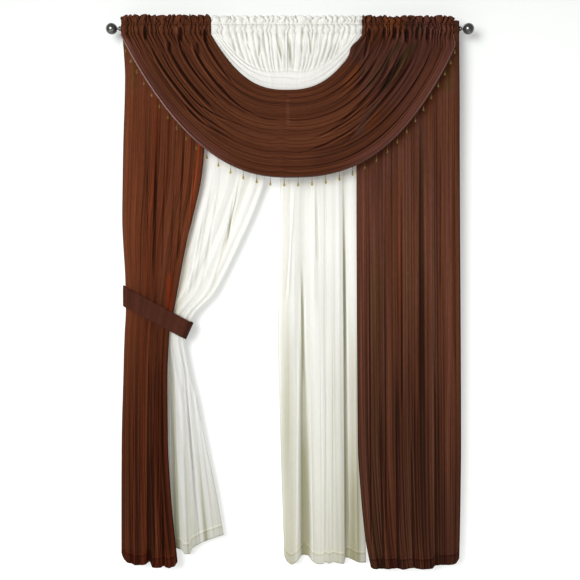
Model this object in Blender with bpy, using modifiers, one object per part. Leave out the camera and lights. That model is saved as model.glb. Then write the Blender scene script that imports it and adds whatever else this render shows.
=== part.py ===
"""Sheer curtain set on a rod: two brown and two ivory panels, a brown swag with bead drops, an ivory insert
and a tieback.

Metres, +Z up. The origin is at the middle of the rod's axis. +X runs along the rod and the front faces -Y.
A drop is a distance below the rod's axis. Each cloth is one sheet that starts at the hem behind its rod
pocket, runs up behind the rod, over the ruffle and down the front.
"""

import math
from collections import namedtuple

import bmesh
import bpy
import numpy as np
from mathutils import Vector

COLLECTION = "sheer_curtain_set"

CLOTH_THICKNESS = 0.0012

# Rod and finials
ROD_HALF_LENGTH = 0.6525
ROD_RADIUS = 0.008
ROD_BORE_RADIUS = 0.007
ROUND_STEPS = 16
FINIAL_CLEARANCE = 0.0003
COLLAR_RADIUS = 0.00885
COLLAR_LENGTH = 0.0065
NECK_RADIUS = 0.0045
BALL_RADIUS = 0.0218
BALL_CENTRE = 0.687
BALL_ARC_STEPS = 8
SPIGOT_RADIUS = 0.0067
SPIGOT_LENGTH = 0.02

# Rod pockets: a cloth's path round the rod, from the hem behind it to the seam under its front
PathPoint = namedtuple("PathPoint", "depth height ripple")
PANEL_RUFFLE_TOP = 0.032
SWAG_RUFFLE_TOP = 0.057
INSERT_RUFFLE_TOP = 0.053
PANEL_SEAM = PathPoint(depth=-0.0010, height=-0.0200, ripple=0)
VALANCE_SEAM = PathPoint(depth=-0.0026, height=-0.0210, ripple=0.0030)


def panel_heading(ruffle_top):
    """The panels' pocket: closest to the rod, and smooth, because the valances' headings cover it."""
    return (
        PathPoint(0.0010, -0.0200, 0),
        PathPoint(0.0104, 0.0000, 0),
        PathPoint(0.0010, 0.0160, 0),
        PathPoint(0.0010, ruffle_top, 0),
        PathPoint(-0.0010, ruffle_top, 0),
        PathPoint(-0.0010, 0.0160, 0),
        PathPoint(-0.0104, 0.0000, 0),
        PANEL_SEAM,
    )


def valance_heading(ruffle_top):
    """The valances' pocket goes round the panels' pockets. Only its front ripples, away from them."""
    return (
        PathPoint(0.0026, -0.0210, 0),
        PathPoint(0.0126, 0.0000, 0),
        PathPoint(0.0026, 0.0175, 0),
        PathPoint(0.0026, ruffle_top - 0.003, 0),
        PathPoint(-0.0005, ruffle_top, 0.0050),
        PathPoint(-0.0030, ruffle_top - 0.004, 0.0080),
        PathPoint(-0.0026, 0.0175, 0.0040),
        PathPoint(-0.0122, 0.0040, 0.0045),
        PathPoint(-0.0122, -0.0060, 0.0045),
        VALANCE_SEAM,
    )


# Panels: the outline by drop, and the folds by their ridges (reach above 0) and valleys (below 0)
Station = namedtuple("Station", "drop left right")
FoldLine = namedtuple("FoldLine", "at_top at_hem reach")
HemPoint = namedtuple("HemPoint", "across drop")
Panel = namedtuple("Panel", "name stations folds hem depth reach held_depth held_reach rows")

BROWN_LEFT_STATIONS = (
    Station(0.020, -0.645, -0.325),
    Station(0.198, -0.634, -0.325),
    Station(0.452, -0.641, -0.329),
    Station(0.567, -0.643, -0.339),
    Station(0.733, -0.645, -0.375),
    Station(0.814, -0.642, -0.395),
    Station(0.968, -0.634, -0.425),
    Station(1.087, -0.632, -0.447),
    Station(1.168, -0.636, -0.464),
    Station(1.353, -0.641, -0.471),
    Station(1.584, -0.647, -0.469),
    Station(1.799, -0.648, -0.457),
    Station(2.069, -0.648, -0.430),
)
IVORY_LEFT_STATIONS = (
    Station(0.020, -0.320, -0.060),
    Station(0.150, -0.319, -0.062),
    Station(0.575, -0.360, -0.098),
    Station(0.679, -0.392, -0.132),
    Station(0.802, -0.430, -0.186),
    Station(0.968, -0.500, -0.266),
    Station(1.020, -0.522, -0.296),
    Station(1.105, -0.556, -0.374),
    Station(1.133, -0.560, -0.386),
    Station(1.195, -0.562, -0.412),
    Station(1.283, -0.556, -0.398),
    Station(1.447, -0.545, -0.358),
    Station(1.616, -0.533, -0.324),
    Station(1.772, -0.522, -0.290),
    Station(2.069, -0.505, -0.238),
)
IVORY_RIGHT_STATIONS = (
    Station(0.020, -0.040, 0.250),
    Station(0.150, -0.040, 0.250),
    Station(0.598, -0.038, 0.272),
    Station(0.733, -0.044, 0.278),
    Station(1.160, -0.048, 0.282),
    Station(1.507, -0.040, 0.286),
    Station(2.069, -0.022, 0.296),
)
BROWN_RIGHT_STATIONS = (
    Station(0.020, 0.256, 0.6515),
    Station(0.150, 0.256, 0.652),
    Station(0.544, 0.2553, 0.653),
    Station(1.599, 0.2606, 0.658),
    Station(1.795, 0.2726, 0.656),
    Station(1.965, 0.290, 0.653),
    Station(2.080, 0.312, 0.650),
)
BROWN_LEFT_FOLDS = (
    FoldLine(0.000, 0.000, 0.0),
    FoldLine(0.090, 0.110, 0.9),
    FoldLine(0.150, 0.175, -0.5),
    FoldLine(0.215, 0.240, 0.6),
    FoldLine(0.290, 0.320, -0.8),
    FoldLine(0.370, 0.385, 0.5),
    FoldLine(0.430, 0.480, -1.0),
    FoldLine(0.510, 0.580, 1.0),
    FoldLine(0.590, 0.660, -0.4),
    FoldLine(0.660, 0.725, 0.7),
    FoldLine(0.740, 0.790, -0.9),
    FoldLine(0.820, 0.855, 0.5),
    FoldLine(0.885, 0.905, -0.6),
    FoldLine(0.950, 0.960, 0.8),
    FoldLine(1.000, 1.000, -0.2),
)
BROWN_RIGHT_FOLDS = (
    FoldLine(0.000, 0.000, -0.3),
    FoldLine(0.045, 0.050, 0.8),
    FoldLine(0.105, 0.110, -0.6),
    FoldLine(0.165, 0.180, 0.6),
    FoldLine(0.235, 0.255, -0.8),
    FoldLine(0.310, 0.320, 0.9),
    FoldLine(0.385, 0.400, -0.4),
    FoldLine(0.460, 0.470, 0.7),
    FoldLine(0.530, 0.545, 0.3),
    FoldLine(0.640, 0.650, -1.0),
    FoldLine(0.725, 0.735, 0.8),
    FoldLine(0.785, 0.800, -0.6),
    FoldLine(0.850, 0.855, 0.2),
    FoldLine(0.920, 0.920, 1.0),
    FoldLine(1.000, 1.000, -0.3),
)
IVORY_LEFT_FOLDS = (
    FoldLine(0.000, 0.000, 0.3),
    FoldLine(0.120, 0.130, -0.9),
    FoldLine(0.240, 0.250, 0.7),
    FoldLine(0.350, 0.370, -0.7),
    FoldLine(0.450, 0.480, 0.9),
    FoldLine(0.560, 0.575, -1.0),
    FoldLine(0.650, 0.660, 0.6),
    FoldLine(0.740, 0.760, -0.7),
    FoldLine(0.840, 0.850, 1.0),
    FoldLine(0.920, 0.930, -0.4),
    FoldLine(1.000, 1.000, 0.2),
)
IVORY_RIGHT_FOLDS = (
    FoldLine(0.000, 0.000, -0.3),
    FoldLine(0.130, 0.120, 1.0),
    FoldLine(0.300, 0.310, -0.9),
    FoldLine(0.450, 0.470, 0.9),
    FoldLine(0.540, 0.555, 0.1),
    FoldLine(0.610, 0.620, 0.7),
    FoldLine(0.670, 0.675, 0.0),
    FoldLine(0.735, 0.735, 0.8),
    FoldLine(0.830, 0.820, -1.0),
    FoldLine(0.920, 0.910, 0.7),
    FoldLine(1.000, 1.000, -0.2),
)
BROWN_LEFT_HEM = (HemPoint(0.0, 2.066), HemPoint(0.45, 2.072), HemPoint(1.0, 2.062))
BROWN_RIGHT_HEM = (HemPoint(0.0, 2.076), HemPoint(0.6, 2.080), HemPoint(0.75, 2.070), HemPoint(1.0, 2.060))
IVORY_LEFT_HEM = (HemPoint(0.0, 2.055), HemPoint(0.5, 2.030), HemPoint(0.75, 1.985), HemPoint(1.0, 1.955))
IVORY_RIGHT_HEM = (HemPoint(0.0, 2.060), HemPoint(0.4, 2.068), HemPoint(1.0, 2.066))
FREE_ROWS = (0.06, 0.14, 0.26, 0.44, 0.75, 1.15, 1.55, 1.85)
TIED_ROWS = (0.06, 0.16, 0.34, 0.58, 0.82, 0.98, 1.08, 1.17, 1.26, 1.42, 1.70)
NOMINAL_LENGTH = 2.069
PANEL_DEPTH_DROP = 0.30
PANEL_REACH_DROP = 0.45

# Tieback
TIE_LEFT_END = (-0.6433, -1.0272)
TIE_RIGHT_END = (-0.3873, -1.1640)
TIE_LEFT_EDGE = (0.0, 0.0393)
TIE_RIGHT_EDGE = (0.01425, 0.0313)
TIE_THICKNESS = 0.002
TIE_FRONT = -0.0163
TIE_BACK = 0.0323
TIE_END_STEPS = 6
TIE_SIDE_STEPS = 6
TIE_HELD = 0.06
TIE_EASE = 0.20

# Swag: two headings on the rod, and folds that run from one to the other in deep curves. Each row of the
# table is a valley, from the swag's inner edge to its outer one, with the reach of the fold that starts there
SwagFold = namedtuple("SwagFold", "at_heading at_middle reach")
SWAG_LEFT = (-0.304, -0.649)
SWAG_RIGHT = (0.279, 0.629)
SWAG_MIDDLE_DROP = (0.244, 0.577)
SWAG_POWER_LEFT = (2.5, 2.25)
SWAG_POWER_RIGHT = (2.6, 2.65)
SWAG_FLARE = 0.023
SWAG_FLARE_DROP = 0.06
SWAG_FORWARD = 0.050
SWAG_FORWARD_DROP = 0.15
SWAG_FORWARD_POWER = 1.6
SWAG_REACH = 0.012
SWAG_REACH_DROP = 0.20
SWAG_CURVE_ROWS = 16
SWAG_FOLDS = (
    SwagFold(0.000, 0.000, 0.9),
    SwagFold(0.095, 0.075, 0.7),
    SwagFold(0.190, 0.160, 1.1),
    SwagFold(0.280, 0.270, 0.8),
    SwagFold(0.385, 0.350, 1.2),
    SwagFold(0.480, 0.475, 0.8),
    SwagFold(0.585, 0.560, 1.1),
    SwagFold(0.680, 0.680, 0.7),
    SwagFold(0.790, 0.765, 1.2),
    SwagFold(0.885, 0.885, 0.8),
    SwagFold(1.000, 1.000, 0.8),
)
FOLD_SHAPE = ((0.0, -1.0), (0.42, 0.1), (0.80, 1.0))
SWAG_EDGE_WAVE = 0.8

# Ivory insert
INSERT_LEFT = -0.3010
INSERT_RIGHT = 0.2760
INSERT_MIDDLE_DROP = 0.262
INSERT_SIDE_DROP = 0.080
INSERT_POWER = 2.5
INSERT_FORWARD = 0.018
INSERT_FORWARD_DROP = 0.15
INSERT_GATHERS = 14
INSERT_GATHER_REACH = 0.0035
INSERT_CURVE_REACH = 0.006
INSERT_CURVES = (0.0, 0.10, 0.22, 0.35, 0.48, 0.57, 0.67, 0.76, 0.86, 0.93, 1.0)

# Bead trim
BRAID_GAP = 0.0011
BRAID_WIDTH = 0.005
BRAID_THICKNESS = 0.002
BRAID_ROWS = 30
DROP_COUNT = 34
DROP_LENGTH = 0.033
DROP_SIDES = 4
DropRing = namedtuple("DropRing", "share radius")
DROP_RINGS = (
    DropRing(0.00, 0.0006),
    DropRing(0.45, 0.0007),
    DropRing(0.80, 0.0046),
    DropRing(1.00, 0.0020),
)

BROWN = (0.113, 0.031, 0.013)
SWAG_BROWN = (0.094, 0.028, 0.013)
TIE_BROWN = (0.070, 0.020, 0.010)
IVORY = (0.896, 0.888, 0.840)
GUNMETAL = (0.117, 0.117, 0.112)
AMBER = (0.62, 0.42, 0.16)


def empty_scene():
    for thing in list(bpy.data.objects):
        bpy.data.objects.remove(thing, do_unlink=True)


def new_collection(name):
    made = bpy.data.collections.new(name)
    bpy.context.scene.collection.children.link(made)
    return made


def finish(name, colour, roughness, metallic=0.0):
    made = bpy.data.materials.new(name)
    made.use_nodes = True
    shader = made.node_tree.nodes["Principled BSDF"]
    shader.inputs["Base Color"].default_value = (*colour, 1.0)
    shader.inputs["Roughness"].default_value = roughness
    shader.inputs["Metallic"].default_value = metallic
    return made


def through(keys, values, at):
    """Reads a smooth curve through a table's points without overshoot. The keys rise."""
    keys = np.asarray(keys, float)
    values = np.asarray(values, float)
    at = np.clip(at, keys[0], keys[-1])
    steps = np.diff(keys)
    rises = np.diff(values) / steps
    slopes = np.concatenate([rises[:1], np.zeros(len(keys) - 2), rises[-1:]])
    turning = rises[:-1] * rises[1:] <= 0
    middle = 2 * rises[:-1] * rises[1:] / np.where(turning, 1, rises[:-1] + rises[1:])
    slopes[1:-1] = np.where(turning, 0, middle)
    row = np.clip(np.searchsorted(keys, at) - 1, 0, len(keys) - 2)
    part = (at - keys[row]) / steps[row]
    start = (1 + 2 * part) * (1 - part) ** 2 * values[row]
    end = part**2 * (3 - 2 * part) * values[row + 1]
    leave = part * (1 - part) ** 2 * steps[row] * slopes[row]
    arrive = part**2 * (part - 1) * steps[row] * slopes[row + 1]
    return start + end + leave + arrive


def column(table, name):
    return [getattr(row, name) for row in table]


def eased(amount):
    """0 up to 0 and 1 from 1 on, with a level start and end."""
    part = np.clip(amount, 0, 1)
    return part * part * (3 - 2 * part)


def mix(first, second, share):
    return first + (second - first) * share


def new_object(name, mesh, collection, material):
    mesh.materials.append(material)
    mesh.shade_smooth()
    made = bpy.data.objects.new(name, mesh)
    collection.objects.link(made)
    return made


def sheet(name, rows, thickness, collection, material):
    """A cloth: a grid with one vertex for each point of the rows, made solid on both sides of them."""
    across = len(rows[0]) - 1
    down = len(rows) - 1
    grid = bmesh.new()
    bmesh.ops.create_grid(grid, x_segments=across, y_segments=down, size=1)
    for vertex in grid.verts:
        place = round((vertex.co.x + 1) / 2 * across)
        row = round((vertex.co.y + 1) / 2 * down)
        vertex.co = rows[row][place]
    mesh = bpy.data.meshes.new(name)
    grid.to_mesh(mesh)
    grid.free()
    made = new_object(name, mesh, collection, material)
    solid = made.modifiers.new("thickness", "SOLIDIFY")
    solid.thickness = thickness
    solid.offset = 0
    return made


def turned(name, profile, closed, collection, material):
    """A round piece on the X axis, from (radius, distance along the axis) points, outer side first."""
    mesh = bpy.data.meshes.new(name)
    points = [(radius, 0, along) for radius, along in profile]
    edges = [(number, number + 1) for number in range(len(points) - 1)]
    if closed:
        edges.append((len(points) - 1, 0))
    mesh.from_pydata(points, edges, [])
    made = new_object(name, mesh, collection, material)
    screw = made.modifiers.new("turn", "SCREW")
    screw.steps = ROUND_STEPS
    screw.render_steps = ROUND_STEPS
    screw.use_merge_vertices = True
    screw.merge_threshold = 0.00001
    made.rotation_euler = (0, math.pi / 2, 0)
    return made


def make_rod(collection, material):
    half = ROD_HALF_LENGTH
    profile = (
        (ROD_RADIUS, half),
        (ROD_RADIUS, -half),
        (ROD_BORE_RADIUS, -half),
        (ROD_BORE_RADIUS, half),
    )
    turned("rod", profile, True, collection, material)


def make_finial(name, side, collection, material):
    """The ball end and the collar outside the tube, and the spigot that plugs it."""
    collar_start = ROD_HALF_LENGTH + FINIAL_CLEARANCE
    collar_end = collar_start + COLLAR_LENGTH
    last_angle = -math.acos(NECK_RADIUS / BALL_RADIUS)
    profile = []
    for step in range(BALL_ARC_STEPS + 1):
        angle = mix(math.pi / 2, last_angle, step / BALL_ARC_STEPS)
        radius = 0 if step == 0 else BALL_RADIUS * math.cos(angle)
        profile.append((radius, BALL_CENTRE + BALL_RADIUS * math.sin(angle)))
    profile += [
        (NECK_RADIUS, collar_end),
        (COLLAR_RADIUS, collar_end),
        (COLLAR_RADIUS, collar_start),
        (SPIGOT_RADIUS, collar_start),
        (SPIGOT_RADIUS, ROD_HALF_LENGTH - SPIGOT_LENGTH),
        (0, ROD_HALF_LENGTH - SPIGOT_LENGTH),
    ]
    made = turned(name, profile, False, collection, material)
    if side < 0:
        made.rotation_euler = (0, -math.pi / 2, 0)


def held_share(x, z):
    """1 where the tieback holds the cloth at this place, easing to 0 above and below."""
    along = (x - TIE_LEFT_END[0]) / (TIE_RIGHT_END[0] - TIE_LEFT_END[0])
    middle = mix(TIE_LEFT_END[1], TIE_RIGHT_END[1], np.clip(along, 0, 1))
    return 1 - eased((np.abs(z - middle) - TIE_HELD) / TIE_EASE)


def panel_rows(panel, per_line):
    """The points of a panel, row by row, from the hem behind its pocket to the hem at its foot."""
    folds = panel.folds
    numbers = range(len(folds))
    place = np.linspace(0, len(folds) - 1, (len(folds) - 1) * per_line + 1)
    wave = through(numbers, column(folds, "reach"), place)
    at_top = through(numbers, column(folds, "at_top"), place)
    at_hem = through(numbers, column(folds, "at_hem"), place)
    drops = column(panel.stations, "drop")
    top = panel.stations[0]
    rows = []
    for point in panel_heading(PANEL_RUFFLE_TOP):
        x = mix(top.left, top.right, at_top)
        rows.append(np.column_stack([x, np.full_like(x, point.depth), np.full_like(x, point.height)]))
    for row_drop in (*panel.rows, NOMINAL_LENGTH):
        share = (row_drop - top.drop) / (NOMINAL_LENGTH - top.drop)
        across = mix(at_top, at_hem, share)
        hem = through(column(panel.hem, "across"), column(panel.hem, "drop"), across)
        drop = mix(top.drop, hem, share)
        left = through(drops, column(panel.stations, "left"), drop)
        right = through(drops, column(panel.stations, "right"), drop)
        x = mix(left, right, across)
        held = held_share(x, -drop) if panel.held_reach else 0
        fall = drop - top.drop
        depth = mix(panel.depth, panel.held_depth, held) * eased(fall / PANEL_DEPTH_DROP)
        reach = mix(panel.reach, panel.held_reach, held) * eased(fall / PANEL_REACH_DROP)
        rows.append(np.column_stack([x, PANEL_SEAM.depth + depth - reach * wave, -drop]))
    return rows


PANELS = (
    Panel(
        "panel_brown_left", BROWN_LEFT_STATIONS, BROWN_LEFT_FOLDS, BROWN_LEFT_HEM,
        depth=-0.009, reach=0.015, held_depth=-0.003, held_reach=0.010, rows=TIED_ROWS,
    ),
    Panel(
        "panel_brown_right", BROWN_RIGHT_STATIONS, BROWN_RIGHT_FOLDS, BROWN_RIGHT_HEM,
        depth=-0.009, reach=0.014, held_depth=0, held_reach=0, rows=FREE_ROWS,
    ),
    Panel(
        "panel_ivory_left", IVORY_LEFT_STATIONS, IVORY_LEFT_FOLDS, IVORY_LEFT_HEM,
        depth=0.031, reach=0.014, held_depth=0.021, held_reach=0.010, rows=TIED_ROWS,
    ),
    Panel(
        "panel_ivory_right", IVORY_RIGHT_STATIONS, IVORY_RIGHT_FOLDS, IVORY_RIGHT_HEM,
        depth=0.031, reach=0.014, held_depth=0, held_reach=0, rows=FREE_ROWS,
    ),
)  # fmt: skip


def swag_columns():
    """Where each column of the swag's grid lies at its heading and at its middle, and its fold's wave."""
    heading = []
    middle = []
    wave = []
    for start, end in zip(SWAG_FOLDS, SWAG_FOLDS[1:]):
        for part, height in FOLD_SHAPE:
            heading.append(mix(start.at_heading, end.at_heading, part))
            middle.append(mix(start.at_middle, end.at_middle, part))
            wave.append(height * mix(start.reach, end.reach, part))
    heading.append(1.0)
    middle.append(1.0)
    wave.append(SWAG_EDGE_WAVE)
    return np.array(heading), np.array(middle), np.array(wave)


def heading_row(point, x, wave):
    """One row of a valance's heading. A crest of the wave stands forward by the point's ripple."""
    depth = point.depth - point.ripple * (0.5 + 0.5 * wave)
    return np.column_stack([x, depth, np.full_like(x, point.height)])


def swag_depth(fall, wave):
    """How far forward the swag hangs at this distance below its seam."""
    part = np.clip(fall / SWAG_FORWARD_DROP, 0, 1)
    forward = SWAG_FORWARD * (1 - (1 - part) ** SWAG_FORWARD_POWER)
    ripple = VALANCE_SEAM.ripple / 2
    reach = ripple + SWAG_REACH * eased(fall / SWAG_REACH_DROP)
    return VALANCE_SEAM.depth - ripple - forward - reach * wave


def swag_curve_row(turn, heading, middle, wave):
    """One row across the swag, where turn runs from -1 at the left heading to 1 at the right one."""
    left = mix(SWAG_LEFT[0], SWAG_LEFT[1], heading)
    right = mix(SWAG_RIGHT[0], SWAG_RIGHT[1], heading)
    sides = SWAG_POWER_LEFT if turn < 0 else SWAG_POWER_RIGHT
    power = mix(sides[0], sides[1], heading)
    out = math.sin(turn * math.pi / 2)
    depth = mix(SWAG_MIDDLE_DROP[0], SWAG_MIDDLE_DROP[1], middle) + VALANCE_SEAM.height
    fall = depth * (1 - abs(out) ** power)
    half = (right - left) / 2
    if turn > 0:
        half = half + SWAG_FLARE * heading * eased(fall / SWAG_FLARE_DROP)
    x = (left + right) / 2 + half * out
    return np.column_stack([x, swag_depth(fall, wave), VALANCE_SEAM.height - fall])


def make_swag(collection, material):
    heading, middle, wave = swag_columns()
    left = mix(SWAG_LEFT[0], SWAG_LEFT[1], heading)
    right = mix(SWAG_RIGHT[0], SWAG_RIGHT[1], heading)
    path = valance_heading(SWAG_RUFFLE_TOP)
    rows = [heading_row(point, left, wave) for point in path]
    for step in range(1, SWAG_CURVE_ROWS):
        rows.append(swag_curve_row(2 * step / SWAG_CURVE_ROWS - 1, heading, middle, wave))
    rows += [heading_row(point, right, wave) for point in reversed(path)]
    sheet("swag_brown", rows, CLOTH_THICKNESS, collection, material)


def insert_rows():
    """The ivory insert: gathers that fall from its heading and turn into curved folds at its foot."""
    count = INSERT_GATHERS * 2
    number = np.arange(count + 1)
    across = number / count
    gathers = np.where(number % 2 == 1, 1.0, -1.0) * (0.75 + 0.25 * np.sin(number * 2.1))
    x = mix(INSERT_LEFT, INSERT_RIGHT, across)
    out = np.abs(2 * across - 1)
    rows = [heading_row(point, x, gathers) for point in valance_heading(INSERT_RUFFLE_TOP)]
    curve_wave = 1.0
    for share in INSERT_CURVES[1:]:
        curve_wave = -curve_wave
        middle = (INSERT_MIDDLE_DROP + VALANCE_SEAM.height) * share
        side = INSERT_SIDE_DROP * share
        fall = mix(side, middle, 1 - out**INSERT_POWER)
        forward = INSERT_FORWARD * eased(fall / INSERT_FORWARD_DROP)
        gather = INSERT_GATHER_REACH * (1 - eased(share)) * (1 - out**4)
        curve = INSERT_CURVE_REACH * eased(share / 0.6) * (1 - out**4)
        ripple = VALANCE_SEAM.ripple / 2
        depth = VALANCE_SEAM.depth - ripple - forward - gather * gathers - curve * curve_wave
        rows.append(np.column_stack([x, depth, VALANCE_SEAM.height - fall]))
    return rows


def edge_line():
    """The swag's outer edge, as the straight runs between its rows, with the way out of the cloth at each."""
    one = np.array([1.0])
    near = one - BRAID_WIDTH
    turns = [2 * step / SWAG_CURVE_ROWS - 1 for step in range(1, SWAG_CURVE_ROWS)]
    edge = np.array([swag_curve_row(turn, one, one, one * SWAG_EDGE_WAVE)[0] for turn in turns])
    inside = np.array([swag_curve_row(turn, near, near, one * SWAG_EDGE_WAVE)[0] for turn in turns])
    out = (edge - inside) * np.array([1, 0, 1])
    return edge, out / np.linalg.norm(out, axis=1)[:, None]


def along_edge(count):
    """Places that part the edge line into equal lengths, as row numbers with their fractions."""
    edge, _ = edge_line()
    lengths = np.concatenate([[0], np.cumsum(np.linalg.norm(np.diff(edge, axis=0), axis=1))])
    return np.interp(np.linspace(0, lengths[-1], count), lengths, np.arange(len(edge)))


def braid_point(place, share):
    """A point of the braid at a place along the edge line: share 0 is its upper side, 1 its foot."""
    edge, out = edge_line()
    numbers = np.arange(len(edge))
    here = np.array([np.interp(place, numbers, edge[:, axis]) for axis in range(3)])
    way = np.array([np.interp(place, numbers, out[:, axis]) for axis in range(3)])
    return here + way * (BRAID_GAP + BRAID_WIDTH * share)


def make_drops(places, cutters):
    """The bead drops, each a thin stem that swells to a bead, with its root inside the braid."""
    joined = bmesh.new()
    for place in places:
        root = Vector(braid_point(place, 0.5))
        profile = [joined.verts.new(root)]
        for ring in DROP_RINGS:
            profile.append(joined.verts.new(root + Vector((ring.radius, 0, -ring.share * DROP_LENGTH))))
        profile.append(joined.verts.new(root + Vector((0, 0, -DROP_LENGTH))))
        edges = [joined.edges.new(pair) for pair in zip(profile, profile[1:])]
        bmesh.ops.spin(
            joined,
            geom=profile + edges,
            cent=root,
            axis=(0, 0, 1),
            angle=2 * math.pi,
            steps=DROP_SIDES,
            use_merge=True,
        )
    bmesh.ops.remove_doubles(joined, verts=joined.verts, dist=0.00001)
    bmesh.ops.recalc_face_normals(joined, faces=joined.faces)
    mesh = bpy.data.meshes.new("drops")
    joined.to_mesh(mesh)
    joined.free()
    made = bpy.data.objects.new("drops", mesh)
    cutters.objects.link(made)
    made.hide_render = True
    made.display_type = "WIRE"
    return made


def make_trim(collection, cutters, material):
    places = sorted({*range(SWAG_CURVE_ROWS - 1), *along_edge(BRAID_ROWS)})
    rows = [np.array([braid_point(place, 0), braid_point(place, 1)]) for place in places]
    braid = sheet("bead_trim", rows, BRAID_THICKNESS, collection, material)
    drops = make_drops(along_edge(DROP_COUNT + 2)[1:-1], cutters)
    joint = braid.modifiers.new("drops", "BOOLEAN")
    joint.operation = "UNION"
    joint.object = drops


def make_tieback(collection, material):
    """A closed flat loop round both left panels: straight in front and behind, round at its two ends."""
    radius = (TIE_BACK - TIE_FRONT) / 2
    middle_depth = (TIE_BACK + TIE_FRONT) / 2
    left = np.array(TIE_LEFT_END)
    right = np.array(TIE_RIGHT_END)
    length = np.linalg.norm(right - left)
    along = []
    for step in range(TIE_SIDE_STEPS):
        along.append((mix(radius, length - radius, step / TIE_SIDE_STEPS), TIE_FRONT))
    for step in range(TIE_END_STEPS):
        angle = math.pi * step / TIE_END_STEPS
        along.append((length - radius + radius * math.sin(angle), middle_depth - radius * math.cos(angle)))
    for step in range(TIE_SIDE_STEPS):
        along.append((mix(length - radius, radius, step / TIE_SIDE_STEPS), TIE_BACK))
    for step in range(TIE_END_STEPS):
        angle = math.pi * step / TIE_END_STEPS
        along.append((radius - radius * math.sin(angle), middle_depth + radius * math.cos(angle)))
    band = bmesh.new()
    bmesh.ops.create_cone(
        band, cap_ends=False, segments=len(along), radius1=1, radius2=1, depth=2
    )
    for vertex in band.verts:
        angle = math.atan2(vertex.co.y, vertex.co.x) % (2 * math.pi)
        distance, depth = along[round(angle / (2 * math.pi) * len(along)) % len(along)]
        share = distance / length
        centre = mix(left, right, share)
        edge = mix(np.array(TIE_LEFT_EDGE), np.array(TIE_RIGHT_EDGE), share)
        place = centre + edge * vertex.co.z
        vertex.co = (place[0], depth, place[1])
    mesh = bpy.data.meshes.new("tieback")
    band.to_mesh(mesh)
    band.free()
    made = new_object("tieback", mesh, collection, material)
    solid = made.modifiers.new("thickness", "SOLIDIFY")
    solid.thickness = TIE_THICKNESS
    solid.offset = 0


def main():
    empty_scene()
    parts = new_collection(COLLECTION)
    cutters = new_collection("cutters")
    metal = finish("gunmetal", GUNMETAL, roughness=0.35, metallic=0.9)
    brown = finish("brown_voile", BROWN, roughness=0.75)
    ivory = finish("ivory_voile", IVORY, roughness=0.8)
    make_rod(parts, metal)
    make_finial("finial_left", -1, parts, metal)
    make_finial("finial_right", 1, parts, metal)
    for panel in PANELS:
        material = brown if panel.name.startswith("panel_brown") else ivory
        sheet(panel.name, panel_rows(panel, 2), CLOTH_THICKNESS, parts, material)
    make_swag(parts, finish("swag_voile", SWAG_BROWN, roughness=0.75))
    sheet("swag_ivory", insert_rows(), CLOTH_THICKNESS, parts, ivory)
    make_trim(parts, cutters, finish("amber_beads", AMBER, roughness=0.3))
    make_tieback(parts, finish("tie_cloth", TIE_BROWN, roughness=0.8))


main()
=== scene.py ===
"""The sheer curtain set, dressed: fine cloths in place of its plain ones, trimmings, finishes, light, camera.

Metres, +Z up. The origin is at the middle of the rod's axis, +X runs along the rod and the front faces -Y.
A drop is a distance below the rod's axis. Each cloth is one sheet that starts at the hem behind its rod
pocket, runs up behind the rod, over the ruffle and down the front.
"""

import math
from collections import namedtuple

import bmesh
import bpy
import numpy as np
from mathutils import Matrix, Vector


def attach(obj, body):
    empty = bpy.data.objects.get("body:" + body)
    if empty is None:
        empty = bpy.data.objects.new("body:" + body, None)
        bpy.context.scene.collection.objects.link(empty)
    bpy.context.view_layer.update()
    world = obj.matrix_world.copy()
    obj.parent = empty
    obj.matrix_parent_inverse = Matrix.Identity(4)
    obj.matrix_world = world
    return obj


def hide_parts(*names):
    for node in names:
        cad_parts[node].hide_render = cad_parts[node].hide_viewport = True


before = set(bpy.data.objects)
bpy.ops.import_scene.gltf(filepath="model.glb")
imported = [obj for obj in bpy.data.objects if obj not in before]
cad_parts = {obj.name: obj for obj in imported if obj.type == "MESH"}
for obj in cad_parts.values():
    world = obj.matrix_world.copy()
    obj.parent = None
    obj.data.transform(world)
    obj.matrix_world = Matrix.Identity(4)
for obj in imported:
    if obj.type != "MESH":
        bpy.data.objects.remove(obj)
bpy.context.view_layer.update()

# Rows of the tables below, by their columns. Lengths come first and are written in millimetres
Station = namedtuple("Station", "drop left right")
HemPoint = namedtuple("HemPoint", "drop across")
FoldLine = namedtuple("FoldLine", "at_top at_hem reach")
Crease = namedtuple("Crease", "top_x top_drop low_x low_drop width reach")
# A streak's shade is painted shade where it is above 0 and painted light where it is below; its tone makes
# the cloth warmer or cooler there
Streak = namedtuple("Streak", "top_x top_drop low_x low_drop width tone shade")
SwagFold = namedtuple("SwagFold", "at_heading at_middle reach")
Sweep = namedtuple("Sweep", "start_x start_drop bend_x bend_drop end_x end_drop width reach")
DropRing = namedtuple("DropRing", "radius share")
PathPoint = namedtuple("PathPoint", "depth height puff gather sway")
LENGTH_COLUMNS = {PathPoint: 5, Station: 3, HemPoint: 1, Crease: 6, Streak: 5, Sweep: 8, DropRing: 1}


def table(kind, *rows):
    """The rows of a table, with named columns and their lengths in metres."""
    count = LENGTH_COLUMNS.get(kind, 0)
    return tuple(kind(*(value / 1000 for value in row[:count]), *row[count:]) for row in rows)


# Camera and stage
PIXEL = 0.00385
PICTURE_SIDE = 580
PICTURE_CENTRE_X = 290
ROD_AXIS_Y = 28.7
SENSOR_MM = 36
CAMERA_DISTANCE = 3.6
WALL_DEPTH = 0.090
FLOOR_DROP = 2.16
STAGE_HALF = 3.5
WALL_GLOW_NEAR = 0.04
WALL_GLOW_FAR = 0.60
WALL_GLOW_TURN = 0.97
WALL_COLOUR = (0.565, 0.58, 0.565)
FLOOR_COLOUR = (0.9, 0.9, 0.89)
WORLD_LIGHT = 0.20
KEY_PLACE = (-1.7, -4.7, 0.0)
KEY_AIM = (0, 0, -0.7)
KEY_SIZE = 2.5
KEY_POWER = 312

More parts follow.
